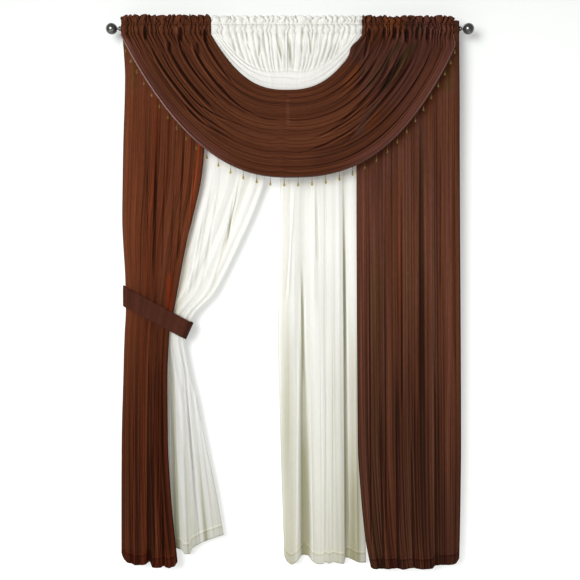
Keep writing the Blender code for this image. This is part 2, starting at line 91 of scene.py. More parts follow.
# Headings: a cloth's path round the rod. Puffs are the ruffle's, gathers the pocket's; both layers sway
PANEL_HEADING = table(
    PathPoint,
    (1, -20, 0, 0.5, 0),
    (10.4, 0, 0, 0.5, 0),
    (1, 16, 0, 0.5, 0),
    (1, 30, 0.5, 0, 0.4),
    (0, 32, 0, 0, 0.4),
    (-1, 30, 0.5, 0, 0.4),
    (-1, 16, 0, 0.2, 0),
    (-10.4, 0, 0, 0.6, 0),
    (-1, -20, 0, 0.5, 0),
)
PANEL_PUFFS = 9
PANEL_GATHERS = 15
PANEL_HEADING_SHIFT = 0.1
SWAG_RUFFLE_TOPS = (0.054, 0.050)
INSERT_RUFFLE_TOP = 0.050
PANEL_SEAM_DEPTH = -0.0010
VALANCE_SEAM_DEPTH = -0.0026
VALANCE_SEAM_HEIGHT = -0.0210
PINCH_HEIGHT = 0.0175
HEADING_STEPS = 4
VALANCE_BACK_ROWS = 5 * HEADING_STEPS
PUFF_LEVEL = 0.45
RUFFLE_LIFT = 0.0080
RUFFLE_SHIFT = 0.0090
HEADING_CURL = 0.34
HEADING_CURL_HEIGHT = 0.013
HEADING_CURL_RISE = 0.012
HEADING_BACK_DEPTH = 0.0012
RUFFLE_UNEVEN = 0.25
RUFFLE_UNEVEN_HEIGHT = 0.014
RUFFLE_LIFT_LEVEL = 0.7
FRILL_SHARE = 0.30
POCKET_SHIFT = 0.4
POCKET_HALF_HEIGHT = 0.012

# How a cloth's depth is turned into painted shade: two windows, in columns on either side, and the share that
# each gives
FINE_WINDOW = 4
BROAD_WINDOW = 15
FINE_SHADE = 0.28
BROAD_SHADE = 0.26
STREAK_ENDS = 0.25
NOISE_SIDE = 64

# Creases and sweeps: how they start and fade along their line, and a sweep's ridge in widths of its recess
CREASE_TOP_WIDTH = 0.5
CREASE_START = 0.35
CREASE_FADE = (0.85, 0.15)
SWEEP_POINTS = 13
SWEEP_START = 0.30
SWEEP_FADE = (0.60, 0.40)
RIDGE_SHARE = 0.55
RIDGE_PLACE = 1.9
RIDGE_WIDTH = 1.1

# Panels
Panel = namedtuple(
    "Panel",
    "name stations folds hem creases streaks flat_width seed pleats pleat_reach "
    "depth reach low_reach held_depth held_reach",
)
NOMINAL_LENGTH = 2.069
PANEL_ROWS = 180
PANEL_COLUMNS_A_FOLD = 22
PANEL_DEPTH_DROP = 0.30
PANEL_REACH_DROP = 0.45
LOW_REACH_ZONE = (1.2, 0.3)
PANEL_SIDE = 0.06
PANEL_FINE_PLEATS = 0.6
PANEL_BROAD_PLEATS = 0.8
PLEAT_AT_SIDE = 0.25
HELD_CALM = 0.7
HEM_HEIGHT = 0.046
HEM_ROWS = 16
TURNED_FACES = 11
HEM_GAP = 0.0012
# Panel shading: painted shade read from the depth, on the side edges and at the hem's seam, deepening towards
# the hem, and the cloth's hues
BROWN_READ = (0.0025, 0.011)
IVORY_READ = (0.0040, 0.015)
HUE_DRIFT = 0.10
SIDE_SHADE = 0.35
SEAM_SHADE = 0.16
BROWN_LOW_ZONE = (0.7, 1.2)
LOW_SHADE = 0.28
UPPER_CONTRAST = 0.75
LOW_CONTRAST = 1.1
LOW_WARMTH = 0.12
IVORY_CONTRAST = 0.62
IVORY_LOW_SHADE = 0.27
IVORY_CALM = 1.6
IVORY_CALM_ZONE = (1.1, 0.3)
IVORY_LOW_WARMTH = 0.10
IVORY_HELD_SHADE = 0.04
IVORY_HELD_COOL = 0.30
IVORY_COOL_ZONE = (1.15, 0.10)
IVORY_COOL_FADE = (1.70, 0.30)
IVORY_HEM_WARMTH = 0.4
HEM_STITCH = 0.0010
STITCH_WIDTH = 0.003
STITCH_BELOW_SEAM = 0.006
SEAM_WIDTH = 0.004
FIRM_STREAK = 0.028
HEM_CLEAR = 0.65
FOLD_WANDER = 0.08
FOLD_UNEVEN = 0.20
EDGE_TURN = 0.0030
EDGE_TURN_OVER = 0.02
PANEL_FARTHEST = 0.0530

BROWN_LEFT_STATIONS = table(
    Station,
    (20, -645, -325),
    (198, -634, -325),
    (452, -641, -329),
    (567, -643, -339),
    (733, -645, -375),
    (814, -642, -395),
    (968, -634, -425),
    (1087, -632, -447),
    (1168, -636, -464),
    (1353, -641, -471),
    (1584, -647, -469),
    (1799, -648, -457),
    (2069, -648, -430),
)
IVORY_LEFT_STATIONS = table(
    Station,
    (20, -320, -60),
    (150, -319, -62),
    (575, -360, -98),
    (679, -392, -132),
    (802, -430, -186),
    (968, -500, -266),
    (1020, -522, -296),
    (1105, -556, -374),
    (1133, -560, -386),
    (1195, -562, -412),
    (1283, -556, -398),
    (1447, -545, -358),
    (1616, -533, -324),
    (1772, -522, -290),
    (2069, -505, -238),
)
IVORY_RIGHT_STATIONS = table(
    Station,
    (20, -40, 250),
    (150, -40, 250),
    (598, -38, 272),
    (733, -44, 278),
    (1160, -48, 282),
    (1507, -40, 286),
    (2069, -22, 296),
)
BROWN_RIGHT_STATIONS = table(
    Station,
    (20, 256, 651.5),
    (150, 256, 652),
    (544, 255.3, 653),
    (1599, 260.6, 658),
    (1795, 272.6, 656),
    (1965, 290, 653),
    (2080, 312, 650),
)
BROWN_LEFT_FOLDS = table(
    FoldLine,
    (0, 0, 0),
    (0.09, 0.11, 0.9),
    (0.15, 0.175, -0.5),
    (0.215, 0.24, 0.6),
    (0.29, 0.32, -0.8),
    (0.37, 0.385, 0.5),
    (0.43, 0.48, -1),
    (0.51, 0.58, 1),
    (0.59, 0.66, -0.4),
    (0.66, 0.725, 0.7),
    (0.74, 0.79, -0.9),
    (0.82, 0.855, 0.5),
    (0.885, 0.905, -0.6),
    (0.95, 0.96, 0.8),
    (1, 1, -0.2),
)
BROWN_RIGHT_FOLDS = table(
    FoldLine,
    (0, 0, -0.3),
    (0.045, 0.05, 0.8),
    (0.105, 0.11, -0.6),
    (0.165, 0.18, 0.6),
    (0.235, 0.255, -0.8),
    (0.31, 0.32, 0.9),
    (0.385, 0.4, -0.4),
    (0.46, 0.47, 0.7),
    (0.53, 0.545, 0.3),
    (0.64, 0.65, -1),
    (0.725, 0.735, 0.8),
    (0.785, 0.8, -0.6),
    (0.85, 0.855, 0.2),
    (0.92, 0.92, 1),
    (1, 1, -0.3),
)
IVORY_LEFT_FOLDS = table(
    FoldLine,
    (0, 0, 0.3),
    (0.12, 0.13, -0.9),
    (0.24, 0.25, 0.7),
    (0.35, 0.37, -0.7),
    (0.45, 0.48, 0.9),
    (0.56, 0.575, -1),
    (0.65, 0.66, 0.6),
    (0.74, 0.76, -0.7),
    (0.84, 0.85, 1),
    (0.92, 0.93, -0.4),
    (1, 1, 0.2),
)
IVORY_RIGHT_FOLDS = table(
    FoldLine,
    (0, 0, -0.3),
    (0.13, 0.12, 1),
    (0.3, 0.31, -0.9),
    (0.45, 0.47, 0.9),
    (0.54, 0.555, 0.5),
    (0.61, 0.62, 0.8),
    (0.67, 0.675, 0.5),
    (0.735, 0.7, 0.8),
    (0.83, 0.79, -1),
    (0.92, 0.91, 0.7),
    (1, 1, -0.2),
)
BROWN_LEFT_HEM = table(
    HemPoint,
    (2016, 0),
    (2038, 0.05),
    (2052, 0.12),
    (2063, 0.3),
    (2060, 0.43),
    (2055, 0.49),
    (2070, 0.54),
    (2073, 0.68),
    (2067, 0.74),
    (2074, 0.81),
    (2068, 0.93),
    (2050, 1),
)
BROWN_RIGHT_HEM = table(
    HemPoint,
    (2072, 0),
    (2077, 0.03),
    (2077, 0.26),
    (2074, 0.3),
    (2080, 0.37),
    (2073, 0.47),
    (2080, 0.6),
    (2077, 0.69),
    (2063, 0.73),
    (2062, 0.85),
    (2057, 0.95),
    (2038, 1),
)
IVORY_LEFT_HEM = table(
    HemPoint,
    (2035, 0),
    (2008, 0.24),
    (2014, 0.33),
    (2031, 0.38),
    (2031, 0.45),
    (2008, 0.5),
    (1990, 0.63),
    (1971, 0.81),
    (1956, 1),
)
IVORY_RIGHT_HEM = table(
    HemPoint,
    (2040, 0),
    (2058, 0.03),
    (2070, 0.09),
    (2060, 0.15),
    (2036, 0.23),
    (2040, 0.29),
    (2060, 0.34),
    (2070, 0.41),
    (2067, 0.475),
    (2060, 0.5),
    (2067, 0.55),
    (2060, 0.6),
    (2065, 0.66),
    (2068, 0.73),
    (2046, 0.75),
    (2063, 0.93),
    (2064, 1),
)
BROWN_LEFT_CREASES = table(
    Crease,
    (-512, 409, -527, 1045, 8, -10),
    (-551, 467, -543, 898, 4, -4),
    (-477, 371, -493, 1006, 4, -4),
    (-439, 467, -462, 1006, 4, -3),
    (-404, 352, -431, 937, 6, -7),
    (-362, 421, -397, 898, 6, 7),
    (-462, 898, -466, 1091, 6, 4),
    (-601, 1160, -604, 1969, 5, -5),
    (-574, 1160, -578, 1969, 4, -4),
    (-539, 1179, -547, 1738, 5, -6),
    (-512, 1179, -527, 1699, 4, -4),
    (-501, 1179, -508, 1892, 4, -5),
    (-543, 1622, -539, 2103, 11, -22),
    (-489, 1738, -485, 2103, 5, -9),
    (-520, 1699, -508, 2103, 6, 6),
    (-624, 1199, -628, 2103, 10, 4),
)
IVORY_LEFT_CREASES = table(
    Crease,
    (-216, 613, -243, 821, 4, -6),
    (-327, 660, -412, 1091, 6, 4),
    (-262, 525, -347, 1014, 6, -4),
    (-181, 552, -300, 998, 6, -4),
    (-462, 1218, -447, 2100, 9, -8),
    (-423, 1200, -391, 2100, 6, -3),
    (-416, 1200, -333, 2100, 10, -9),
    (-418, 1200, -362, 2100, 10, 5),
)
IVORY_RIGHT_CREASES = table(
    Crease,
    (46, 871, 54, 1507, 7, -10),
    (50, 1160, 62, 2103, 20, -16),
    (208, 544, 223, 2103, 8, -16),
    (19, 583, -12, 1064, 6, 5),
    (100, 563, 108, 910, 8, -4),
    (119, 1045, 123, 2103, 5, -1.5),
    (142, 1160, 139, 2103, 6, -3),
    (166, 1160, 169, 2103, 6, -3),
    (35, 1045, 27, 2103, 4, 4),
    (77, 1237, 89, 2103, 4, 4),
    (250, 1045, 258, 2103, 8, 4),
)
BROWN_RIGHT_CREASES = table(
    Crease,
    (304, 583, 312, 2103, 4, -5),
    (362, 583, 370, 1988, 4, -4),
    (427, 467, 431, 1507, 5, -6),
    (504, 294, 508, 1526, 14, -8),
    (581, 352, 578, 1045, 4, -5),
    (616, 294, 620, 1430, 12, 5),
    (554, 1160, 562, 2103, 5, -6),
    (408, 1430, 416, 2103, 6, -7),
    (462, 1507, 477, 2103, 6, -6),
    (347, 1584, 362, 2103, 6, -6),
    (270, 583, 273, 1584, 6, 4),
)
# Streaks on the panels: painted shade, painted light and the cloth's hues. The warm, lighter streak along the
# left brown panel's inner edge paints light glowing through the cloth
BROWN_LEFT_STREAKS = table(
    Streak,
    (-600, 40, -610, 280, 30, -0.46, 0.04),
    (-335, 340, -387, 780, 4, 0.4, -0.12),
    (-466, 920, -461, 1140, 10, 0.4, -0.06),
    (-612, 200, -618, 1300, 24, -0.04, -0.1),
    (-509, 200, -526, 1300, 10, 0.05, 0.2),
    (-433, 300, -468, 1200, 11, 0.05, 0.12),
    (-553, 300, -550, 1200, 6, 0, 0.1),
    (-537, 1550, -537, 2600, 16, 0, 0.34),
    (-540, 1150, -545, 2900, 100, 0, 0.05),
    (-640, 1100, -640, 2900, 12, 0, 0.08),
    (-588, 1200, -590, 2700, 6, 0, 0.12),
    (-492, 1200, -496, 2700, 5, 0, 0.12),
    (-560, 1300, -566, 2700, 7, 0.06, -0.12),
    (-512, 1300, -506, 2700, 7, 0.06, -0.12),
)
BROWN_RIGHT_STREAKS = table(
    Streak,
    (612, 60, 614, 280, 26, -0.5, 0.02),
    (606, 250, 612, 2200, 12, -0.2, -0.14),
    (282, 300, 286, 2200, 14, -0.2, -0.1),
    (420, 420, 300, 680, 45, -0.22, 0.04),
    (330, 500, 336, 2600, 26, -0.42, 0.02),
    (452, 300, 456, 2400, 10, -0.42, 0),
    (504, 100, 508, 2100, 15, -0.44, 0.14),
    (556, 300, 560, 2600, 18, -0.34, 0.04),
    (560, 1200, 562, 2700, 8, 0, 0.2),
    (410, 1200, 422, 2700, 10, 0, 0.2),
    (340, 1300, 366, 2700, 9, 0, 0.16),
    (474, 1300, 498, 2700, 10, 0, 0.16),
    (600, 1600, 600, 2800, 50, -0.1, 0.08),
)
IVORY_LEFT_STREAKS = table(
    Streak,
    (-355, 560, -450, 1200, 10, 0.4, 0.06),
    (-190, 540, -258, 880, 2.8, 0.1, 0.34),
    (-110, 400, -330, 1080, 10, 0.1, 0.08),
    (-290, 500, -380, 1050, 4, 0.05, 0.16),
    (-468, 1050, -424, 2400, 10, 0.12, 0.32),
    (-424, 1050, -388, 2300, 4, 0, 0.1),
    (-412, 1100, -296, 2300, 8, 0.05, 0.22),
    (-398, 1150, -250, 2300, 3, 0.05, 0.12),
    (-406, 1050, -325, 2300, 14, -0.14, -0.16),
    (-430, 1150, -400, 2300, 12, -0.12, -0.1),
    (-380, 1300, -250, 2300, 18, -0.1, -0.1),
)
IVORY_RIGHT_STREAKS = table(
    Streak,
    (-12, 300, -20, 1900, 17, 0.06, 0.16),
    (8, 450, 12, 1200, 3, 0, -0.24),
    (99, 300, 101, 1150, 9, 0.06, 0.16),
    (134, 350, 132, 1600, 3.5, 0.05, 0.12),
    (175, 350, 172, 1700, 3.5, 0.05, 0.1),
    (-6, 1000, 0, 2900, 19, 0.14, 0.1),
    (46, 800, 63, 2900, 9.5, 0.14, 0.14),
    (54, 1400, 66, 2900, 20, 0.12, 0.17),
    (208, 350, 223, 2900, 6.5, 0.2, 0.24),
    (250, 900, 258, 2900, 22, 0.16, 0.13),
    (242, 1500, 252, 2900, 26, 0.14, 0.16),
    (122, 1000, 128, 2900, 40, -0.05, -0.08),
)
PANELS = (
    Panel(
        "panel_brown_left",
        BROWN_LEFT_STATIONS, BROWN_LEFT_FOLDS, BROWN_LEFT_HEM, BROWN_LEFT_CREASES, BROWN_LEFT_STREAKS,
        flat_width=0.38, seed=3, pleats=34, pleat_reach=0.0050,
        depth=-0.009, reach=0.005, low_reach=0.005, held_depth=-0.003, held_reach=0.005,
    ),
    Panel(
        "panel_brown_right",
        BROWN_RIGHT_STATIONS, BROWN_RIGHT_FOLDS, BROWN_RIGHT_HEM, BROWN_RIGHT_CREASES, BROWN_RIGHT_STREAKS,
        flat_width=0.48, seed=11, pleats=40, pleat_reach=0.0050,
        depth=-0.009, reach=0.005, low_reach=0.005, held_depth=0, held_reach=0,
    ),
    Panel(
        "panel_ivory_left",
        IVORY_LEFT_STATIONS, IVORY_LEFT_FOLDS, IVORY_LEFT_HEM, IVORY_LEFT_CREASES, IVORY_LEFT_STREAKS,
        flat_width=0.31, seed=5, pleats=16, pleat_reach=0.0016,
        depth=0.031, reach=0.0042, low_reach=0.0020, held_depth=0.021, held_reach=0.0040,
    ),
    Panel(
        "panel_ivory_right",
        IVORY_RIGHT_STATIONS, IVORY_RIGHT_FOLDS, IVORY_RIGHT_HEM, IVORY_RIGHT_CREASES, IVORY_RIGHT_STREAKS,
        flat_width=0.44, seed=8, pleats=18, pleat_reach=0.0018,
        depth=0.031, reach=0.007, low_reach=0.007, held_depth=0, held_reach=0,
    ),
)

# Tieback
TIE_LEFT_END = (-0.6433, -1.0272)
TIE_RIGHT_END = (-0.3873, -1.1640)
TIE_LEFT_EDGE = (0.0, 0.0393)
TIE_RIGHT_EDGE = (0.01425, 0.0313)
TIE_THICKNESS = 0.0018
TIE_PUFF = 0.0012
TIE_RIPPLE = 0.0006
TIE_FRONT = -0.0163
TIE_BACK = 0.0323
TIE_HELD = 0.06
TIE_EASE = 0.20
TIE_STEPS = 60
TIE_ROWS = 24

# Swag
SWAG_LEFT = (-0.304, -0.649)
SWAG_RIGHT = (0.279, 0.629)
SWAG_MIDDLE_DROP = (0.244, 0.577)
SWAG_POWER_LEFT = (2.5, 2.25)
SWAG_POWER_RIGHT = (2.6, 2.65)
SWAG_FLARE = 0.023
SWAG_FLARE_DROP = 0.06
SWAG_FORWARD = 0.050
SWAG_FORWARD_DROP = 0.15
SWAG_FORWARD_POWER = 1.6
SWAG_STAND_OFF = 0.0015
SWAG_REACH = 0.012
SWAG_REACH_DROP = 0.20
SWAG_LEAN = 0.30
SWAG_LEAN_ZONE = (0.03, 0.12)
SWAG_SIDE_ZONE = (0.12, 0.5)
SWAG_MIDDLE_WAVE = 0.12
SWAG_SIDE_WAVE = 0.38
SWAG_INNER_EDGE = 0.02
SWAG_OUTER_EDGE = 0.05
SWAG_UNEVEN = 0.5
SWAG_GATHER_FADE = (0.04, 0.16)
SWAG_GATHER_SETTLE = 0.06
SWAG_BUSY_ZONE = (0.02, 0.06)
SWAG_LOWER_OVER = 0.05
SWAG_PLEAT_DROP = 0.08
SWAG_FINE_PLEATS = 0.6
SWAG_MIDDLE_PLEATS = 0.85
SWAG_SEAM_PULL = 0.02
SWAG_SEAM_PULL_TURN = 0.035
SWAG_SEAM_WIDTH = 0.008
SWAG_LINE_WIDTH = 0.006
SWAG_LOBE_SHARE = 0.10
SWAG_SEAM_REACH = 0.0015
SWAG_LINE_REACH = 0.0016
SWAG_COVERED_FALL = 0.30
SWAG_ROWS = 200
SWAG_COLUMNS_A_FOLD = 30
SWAG_SEEDS = (21, 34)
SWAG_PUFFS = 15
SWAG_GATHERS = 20
SWAG_GATHER_REACH = 0.0120
SWAG_PLEATS = 12
SWAG_PLEAT_REACH = 0.0052
SWAG_CALM_ZONE = (0.64, 0.12)
SWAG_CALM_LEFT = 0.60
SWAG_CALM_RIGHT = 0.75
# Swag shading: painted shade read from its depth and its recesses, strong at its headings and calm at the
# right, and a paler band at its edge with lighter painted lines on the band's ridges
SWAG_READ = (0.0024, 0.012)
SWAG_BAND = 0.930
SWAG_BAND_LINES = (0.924, 0.902)
SWAG_HEADING_DROP = 0.03
SWAG_BELOW_HEADING = (0.02, 0.03)
SWAG_ROLL = (0.985, 0.008)
SWAG_ROLL_PAINTED_SHADE = 0.55
SWAG_BAND_FROM = (0.15, 0.15)
SWAG_BAND_DROP = (0.03, 0.03)
SWAG_BAND_EDGE = 0.012
SWAG_BAND_SHADE = -0.14
SWAG_LINE_SHADE = -0.25
SWAG_BAND_TONE = -0.24
SWEEP_SHADE = 22
SWAG_RIGHT_ZONE = (0.18, 0.16)
SWAG_RIGHT_CONTRAST = 0.34
SWAG_RIGHT_SHADE = 0.07
HEADING_CONTRAST = 1.5
SWAG_LOBE_DROP = 0.055
SWAG_LOBE_HIGH = 0.028
SWAG_LOBE_REACH = 0.015
SWAG_SEAM_TURN = -0.025
SWAG_NEAREST = -0.0042
SWAG_FOLDS = table(
    SwagFold,
    (0, 0, 0.9),
    (0.095, 0.075, 0.7),
    (0.19, 0.16, 1.1),
    (0.28, 0.27, 0.8),
    (0.385, 0.35, 1.2),
    (0.48, 0.475, 0.8),
    (0.585, 0.56, 1.1),
    (0.68, 0.68, 0.7),
    (0.79, 0.765, 1.2),
    (0.885, 0.885, 0.8),
    (1, 1, 0.8),
)
FOLD_SHAPE = ((0.0, -1.0), (0.42, 0.1), (0.80, 1.0), (1.0, -1.0))
SWAG_EDGE_WAVE = 0.8
SWAG_EDGE_ZONE = (0.80, 0.08)
SWAG_SWEEPS = table(
    Sweep,
    (-535, 60, -448, 213, -262, 425, 4.2, -11),
    (-480, 40, -389, 208, -239, 362, 5.5, -16),
    (-430, 5, -389, 140, -268, 285, 3.4, -10),
    (-372, 40, -319, 168, -165, 340, 4.6, -13),
    (-327, 0, -300, 105, -180, 262, 3.8, -10),
    (-535, 90, -520, 120, -490, 160, 3, -4),
    (-410, 60, -360, 180, -210, 345, 2.6, -6),
    (-500, 60, -420, 215, -250, 395, 2.6, -6),
    (-400, 290, -330, 370, -180, 450, 4, -8),
    (-420, 240, -350, 330, -190, 430, 3.4, -7),
    (-390, 250, -300, 330, -120, 402, 3, -6),
    (-290, 180, -200, 300, -60, 362, 3.4, -6),
    (340, 90, 289, 192, 212, 270, 5.5, -9),
    (380, 100, 320, 240, 130, 420, 6, -13),
    (440, 80, 375, 215, 280, 330, 7.5, -16),
    (475, 90, 382, 255, 150, 500, 4.6, -11),
    (293, 155, 245, 215, 160, 280, 3.6, -6),
    (410, 110, 340, 260, 220, 370, 3, -6),
    (300, 290, 200, 375, 60, 442, 3.6, -8),
    (310, 330, 180, 430, 10, 492, 3.6, -7),
    (295, 12, 293, 77, 270, 145, 4.5, -12),
    (-554, -12, -554, 22, -552, 60, 5, -14),
    (-420, -10, -419, 26, -417, 62, 6.5, -18),
    (-462, 45, -460, 80, -454, 115, 6.5, -9),
    (-356, 45, -352, 85, -342, 125, 7.5, -9),
    (-325, 0, -324, 30, -320, 70, 4.5, -12),
    (304, -4, 304, 30, 300, 64, 5.5, -18),
    (362, -4, 362, 26, 360, 56, 5, -17),
    (404, -6, 402, 26, 400, 56, 6, -18),
    (446, 0, 448, 36, 450, 70, 7, -20),
    (489, -4, 487, 24, 484, 54, 5, -16),
    (529, -6, 528, 26, 525, 58, 5.5, -18),
)
# Streaks on the swag: painted shade, painted light and the cloth's hues
SWAG_STREAKS = table(
    Streak,
    (268, 20, 244, 160, 22, -0.34, 0.22),
    (310, 60, 258, 200, 14, -0.24, 0.14),
    (-565, 150, -420, 340, 35, 0, 0.08),
    (460, 0, 260, 290, 30, -0.4, 0.12),
    (500, 30, 320, 290, 18, -0.36, 0.22),
    (480, -40, 620, 50, 50, -0.22, 0.1),
    (360, 50, 245, 240, 11, -0.26, 0.1),
    (560, 0, 360, 360, 50, -0.22, 0.16),
    (350, 260, 240, 440, 16, -0.38, 0.1),
    (335, 325, 285, 405, 14, 0.34, -0.06),
    (290, 130, 195, 250, 15, 0.22, -0.12),
    (315, 160, 220, 280, 7, 0.24, -0.08),
    (350, -35, 450, -15, 32, 0.24, -0.06),
    (450, -40, 510, 35, 32, -0.24, 0.1),
    (290, 420, 60, 530, 30, 0, 0.14),
    (-10, 260, -8, 400, 7, -0.1, -0.14),
)

# Ivory insert
INSERT_LEFT = -0.3010
INSERT_RIGHT = 0.2760
INSERT_MIDDLE_DROP = 0.262
INSERT_SIDE_DROP = 0.080
INSERT_POWER = 2.5
INSERT_FORWARD = 0.018
INSERT_FORWARD_DROP = 0.15
INSERT_PUFFS = 26
INSERT_GATHERS = 27
INSERT_ROWS = 120
INSERT_COLUMNS = 320
INSERT_BAND = (0.080, 0.022)
INSERT_BAND_FOLDS = 3
INSERT_BAND_REACH = 0.0065
INSERT_BAND_FORWARD = 0.006
INSERT_BAND_ZONE = (0.70, 0.6)
INSERT_STAND_OFF = 0.0012
INSERT_GATHER_REACH = (0.0120, 0.0085)
INSERT_CREASE_REACH = 0.0025
INSERT_DRAWN = 0.55
INSERT_DRAWN_FALL = 0.175
INSERT_READ = (0.0045, 0.013)
INSERT_NEAREST = -0.0040
INSERT_SWEEPS = table(
    Sweep,
    (-223, 30, -216, 60, -208, 95, 3.5, -6),
    (-172, 45, -160, 70, -150, 90, 3, -5),
    (-116, 10, -118, 70, -119, 140, 3.6, -8),
    (-52, 10, -40, 80, -28, 150, 3.6, -8),
    (-6, 20, 2, 90, 0, 165, 6, -9),
    (50, -10, 47, 50, 46, 110, 3.2, -7),
    (72, 10, 80, 70, 82, 130, 3.4, -7),
    (110, 10, 106, 50, 104, 100, 3.2, -6),
    (170, 45, 155, 90, 134, 145, 3.4, -6),
    (195, 30, 185, 75, 168, 120, 3.2, -6),
    (-80, 15, -78, 60, -74, 105, 2.8, -5),
)
# Painted shade in the valleys of the insert's gathers
INSERT_STREAKS = table(
    Streak,
    (-2, 30, 3, 180, 10, 0, 0.24),
    (-42, 10, -30, 140, 6, 0, 0.2),
    (82, 0, 68, 130, 6, 0, 0.2),
    (46, -15, 40, 110, 4, 0, 0.24),
    (-120, 10, -110, 130, 5, 0, 0.18),
    (150, 30, 120, 150, 5, 0, 0.18),
)

# Bead trim
EDGE_STEPS = 401
EDGE_TRIM = 8
BRAID_GAP = -0.0006
BRAID_FORWARD = 0.0028
BRAID_WIDTH = 0.005
BRAID_HALF_WIDTH = 0.00253
BRAID_HALF_THICKNESS = 0.00132
BRAID_TWIST = 0.0045
BRAID_RELIEF = 0.22
BRAID_POINTS = 700
BRAID_SIDES = 12
DROP_COUNT = 34
DROP_ENDS = (0.028, 0.972)
DROP_LENGTH = 0.036
DROP_SIDES = 14
STEM_RINGS = table(
    DropRing,
    (1, 0),
    (1.6, 0.05),
    (1, 0.1),
    (0.5, 0.14),
    (0.5, 0.42),
    (1.3, 0.46),
    (1.3, 0.51),
    (0.8, 0.55),
)
BEAD_RINGS = table(
    DropRing,
    (0.8, 0.54),
    (1.9, 0.58),
    (2.6, 0.68),
    (3.8, 0.8),
    (4.2, 0.89),
    (3.2, 0.96),
    (1, 1),
)

# Finials
ROD_HALF_LENGTH = 0.6525
COLLAR_START = ROD_HALF_LENGTH + 0.0003
COLLAR_LENGTH = 0.0065
COLLAR_RADIUS = 0.00885
COLLAR_END = COLLAR_START + COLLAR_LENGTH
COLLAR_BEVEL = 0.0008
SPIGOT_RADIUS = 0.0067
SPIGOT_END = ROD_HALF_LENGTH - 0.02
NECK_RADIUS = 0.0045
BALL_RADIUS = 0.0218
BALL_CENTRE = 0.687
BALL_RINGS = 32
FINIAL_STEPS = 64
MERGED_BELOW = 0.00001


def through(keys, values, at):
    """Reads a smooth curve through a table's points without overshoot. The keys rise."""
    keys = np.asarray(keys, float)
    values = np.asarray(values, float)
    at = np.clip(at, keys[0], keys[-1])
    steps = np.diff(keys)
    rises = np.diff(values) / steps
    slopes = np.concatenate([rises[:1], np.zeros(len(keys) - 2), rises[-1:]])
    turning = rises[:-1] * rises[1:] <= 0
    middle = 2 * rises[:-1] * rises[1:] / np.where(turning, 1, rises[:-1] + rises[1:])
    slopes[1:-1] = np.where(turning, 0, middle)
    row = np.clip(np.searchsorted(keys, at) - 1, 0, len(keys) - 2)
    part = (at - keys[row]) / steps[row]
    start = (1 + 2 * part) * (1 - part) ** 2 * values[row]
    end = part**2 * (3 - 2 * part) * values[row + 1]
    leave = part * (1 - part) ** 2 * steps[row] * slopes[row]
    arrive = part**2 * (part - 1) * steps[row] * slopes[row + 1]
    return start + end + leave + arrive


def column(rows, name):
    """One named column of a table."""
    return [getattr(row, name) for row in rows]


def eased(amount):
    """0 up to 0 and 1 from 1 on, with a level start and end."""
    part = np.clip(amount, 0, 1)
    return part * part * (3 - 2 * part)


def mix(first, second, share):
    return first + (second - first) * share


def past(value, zone):
    """Eases from 0 where a zone starts to 1 where it ends. A zone is its start and its length."""
    start, length = zone
    return eased((value - start) / length)


def hump(value, centre, width):
    """A soft bump, 1 at the centre."""
    return np.exp(-(((value - centre) / width) ** 2))


def paint(piece, material):
    piece.data.materials.clear()
    piece.data.materials.append(material)


def dress(piece, node, material):
    """Gives a new piece its material and its place in the set, where it replaces a plain one."""
    paint(piece, material)
    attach(piece, "root")
    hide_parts(node)


def in_scene(name, data):
    """A new object that is in the scene."""
    made = bpy.data.objects.new(name, data)
    bpy.context.scene.collection.objects.link(made)
    return made


def grid_object(name, points):
    """A one-layer mesh with one vertex for each point of a (rows, columns, 3) array."""
    rows, columns = points.shape[:2]
    bpy.ops.mesh.primitive_grid_add(x_subdivisions=columns - 1, y_subdivisions=rows - 1, size=2)
    made = bpy.context.object
    made.name = name
    made.data.name = name
    made.data.vertices.foreach_set("co", points.reshape(-1))
    made.data.update()
    made.data.shade_smooth()
    return made


def mark(piece, name, values):
    """Gives each vertex of a piece a value from 0 to 1 that its material reads by name."""
    made = piece.data.attributes.new(name, "FLOAT", "POINT")
    made.data.foreach_set("value", np.clip(values, 0, 1).reshape(-1))


def smoothed(values, half):
    """The running mean along each row, over half a window on either side."""
    window = 2 * half + 1
    total = np.cumsum(np.pad(values, ((0, 0), (half + 1, half)), mode="edge"), axis=1)
    return (total[:, window:] - total[:, :-window]) / window


def shading(points, fine_reach, broad_reach, streaks):
    """Two values for each point of a cloth, which its material reads.

    The painted shade is 0 on a crest, painted lightest, 0.5 level with its surroundings and 1 in a valley,
    painted darkest. Streaks add painted shade and light of their own.
    The tone is 0 where the cloth is cool, 0.5 where it is plain and 1 where it is warm.
    """
    depth = points[:, :, 1]
    fine = np.clip((depth - smoothed(depth, FINE_WINDOW)) / fine_reach, -1, 1)
    broad = np.clip((depth - smoothed(depth, BROAD_WINDOW)) / broad_reach, -1, 1)
    painted_shade = 0.5 + FINE_SHADE * fine + BROAD_SHADE * broad
    tone = np.full(depth.shape, 0.5)
    for streak in streaks:
        line = np.array([(streak.top_x, streak.top_drop), (streak.low_x, streak.low_drop)])
        away, passed = beside(points[:, :, 0], -points[:, :, 2], line)
        power = 6 if streak.width < FIRM_STREAK else 2
        ends = eased(passed / STREAK_ENDS) * eased((1 - passed) / STREAK_ENDS)
        inside = np.exp(-((away / streak.width) ** power)) * ends
        painted_shade += streak.shade * inside
        tone += streak.tone * inside
    return painted_shade, tone


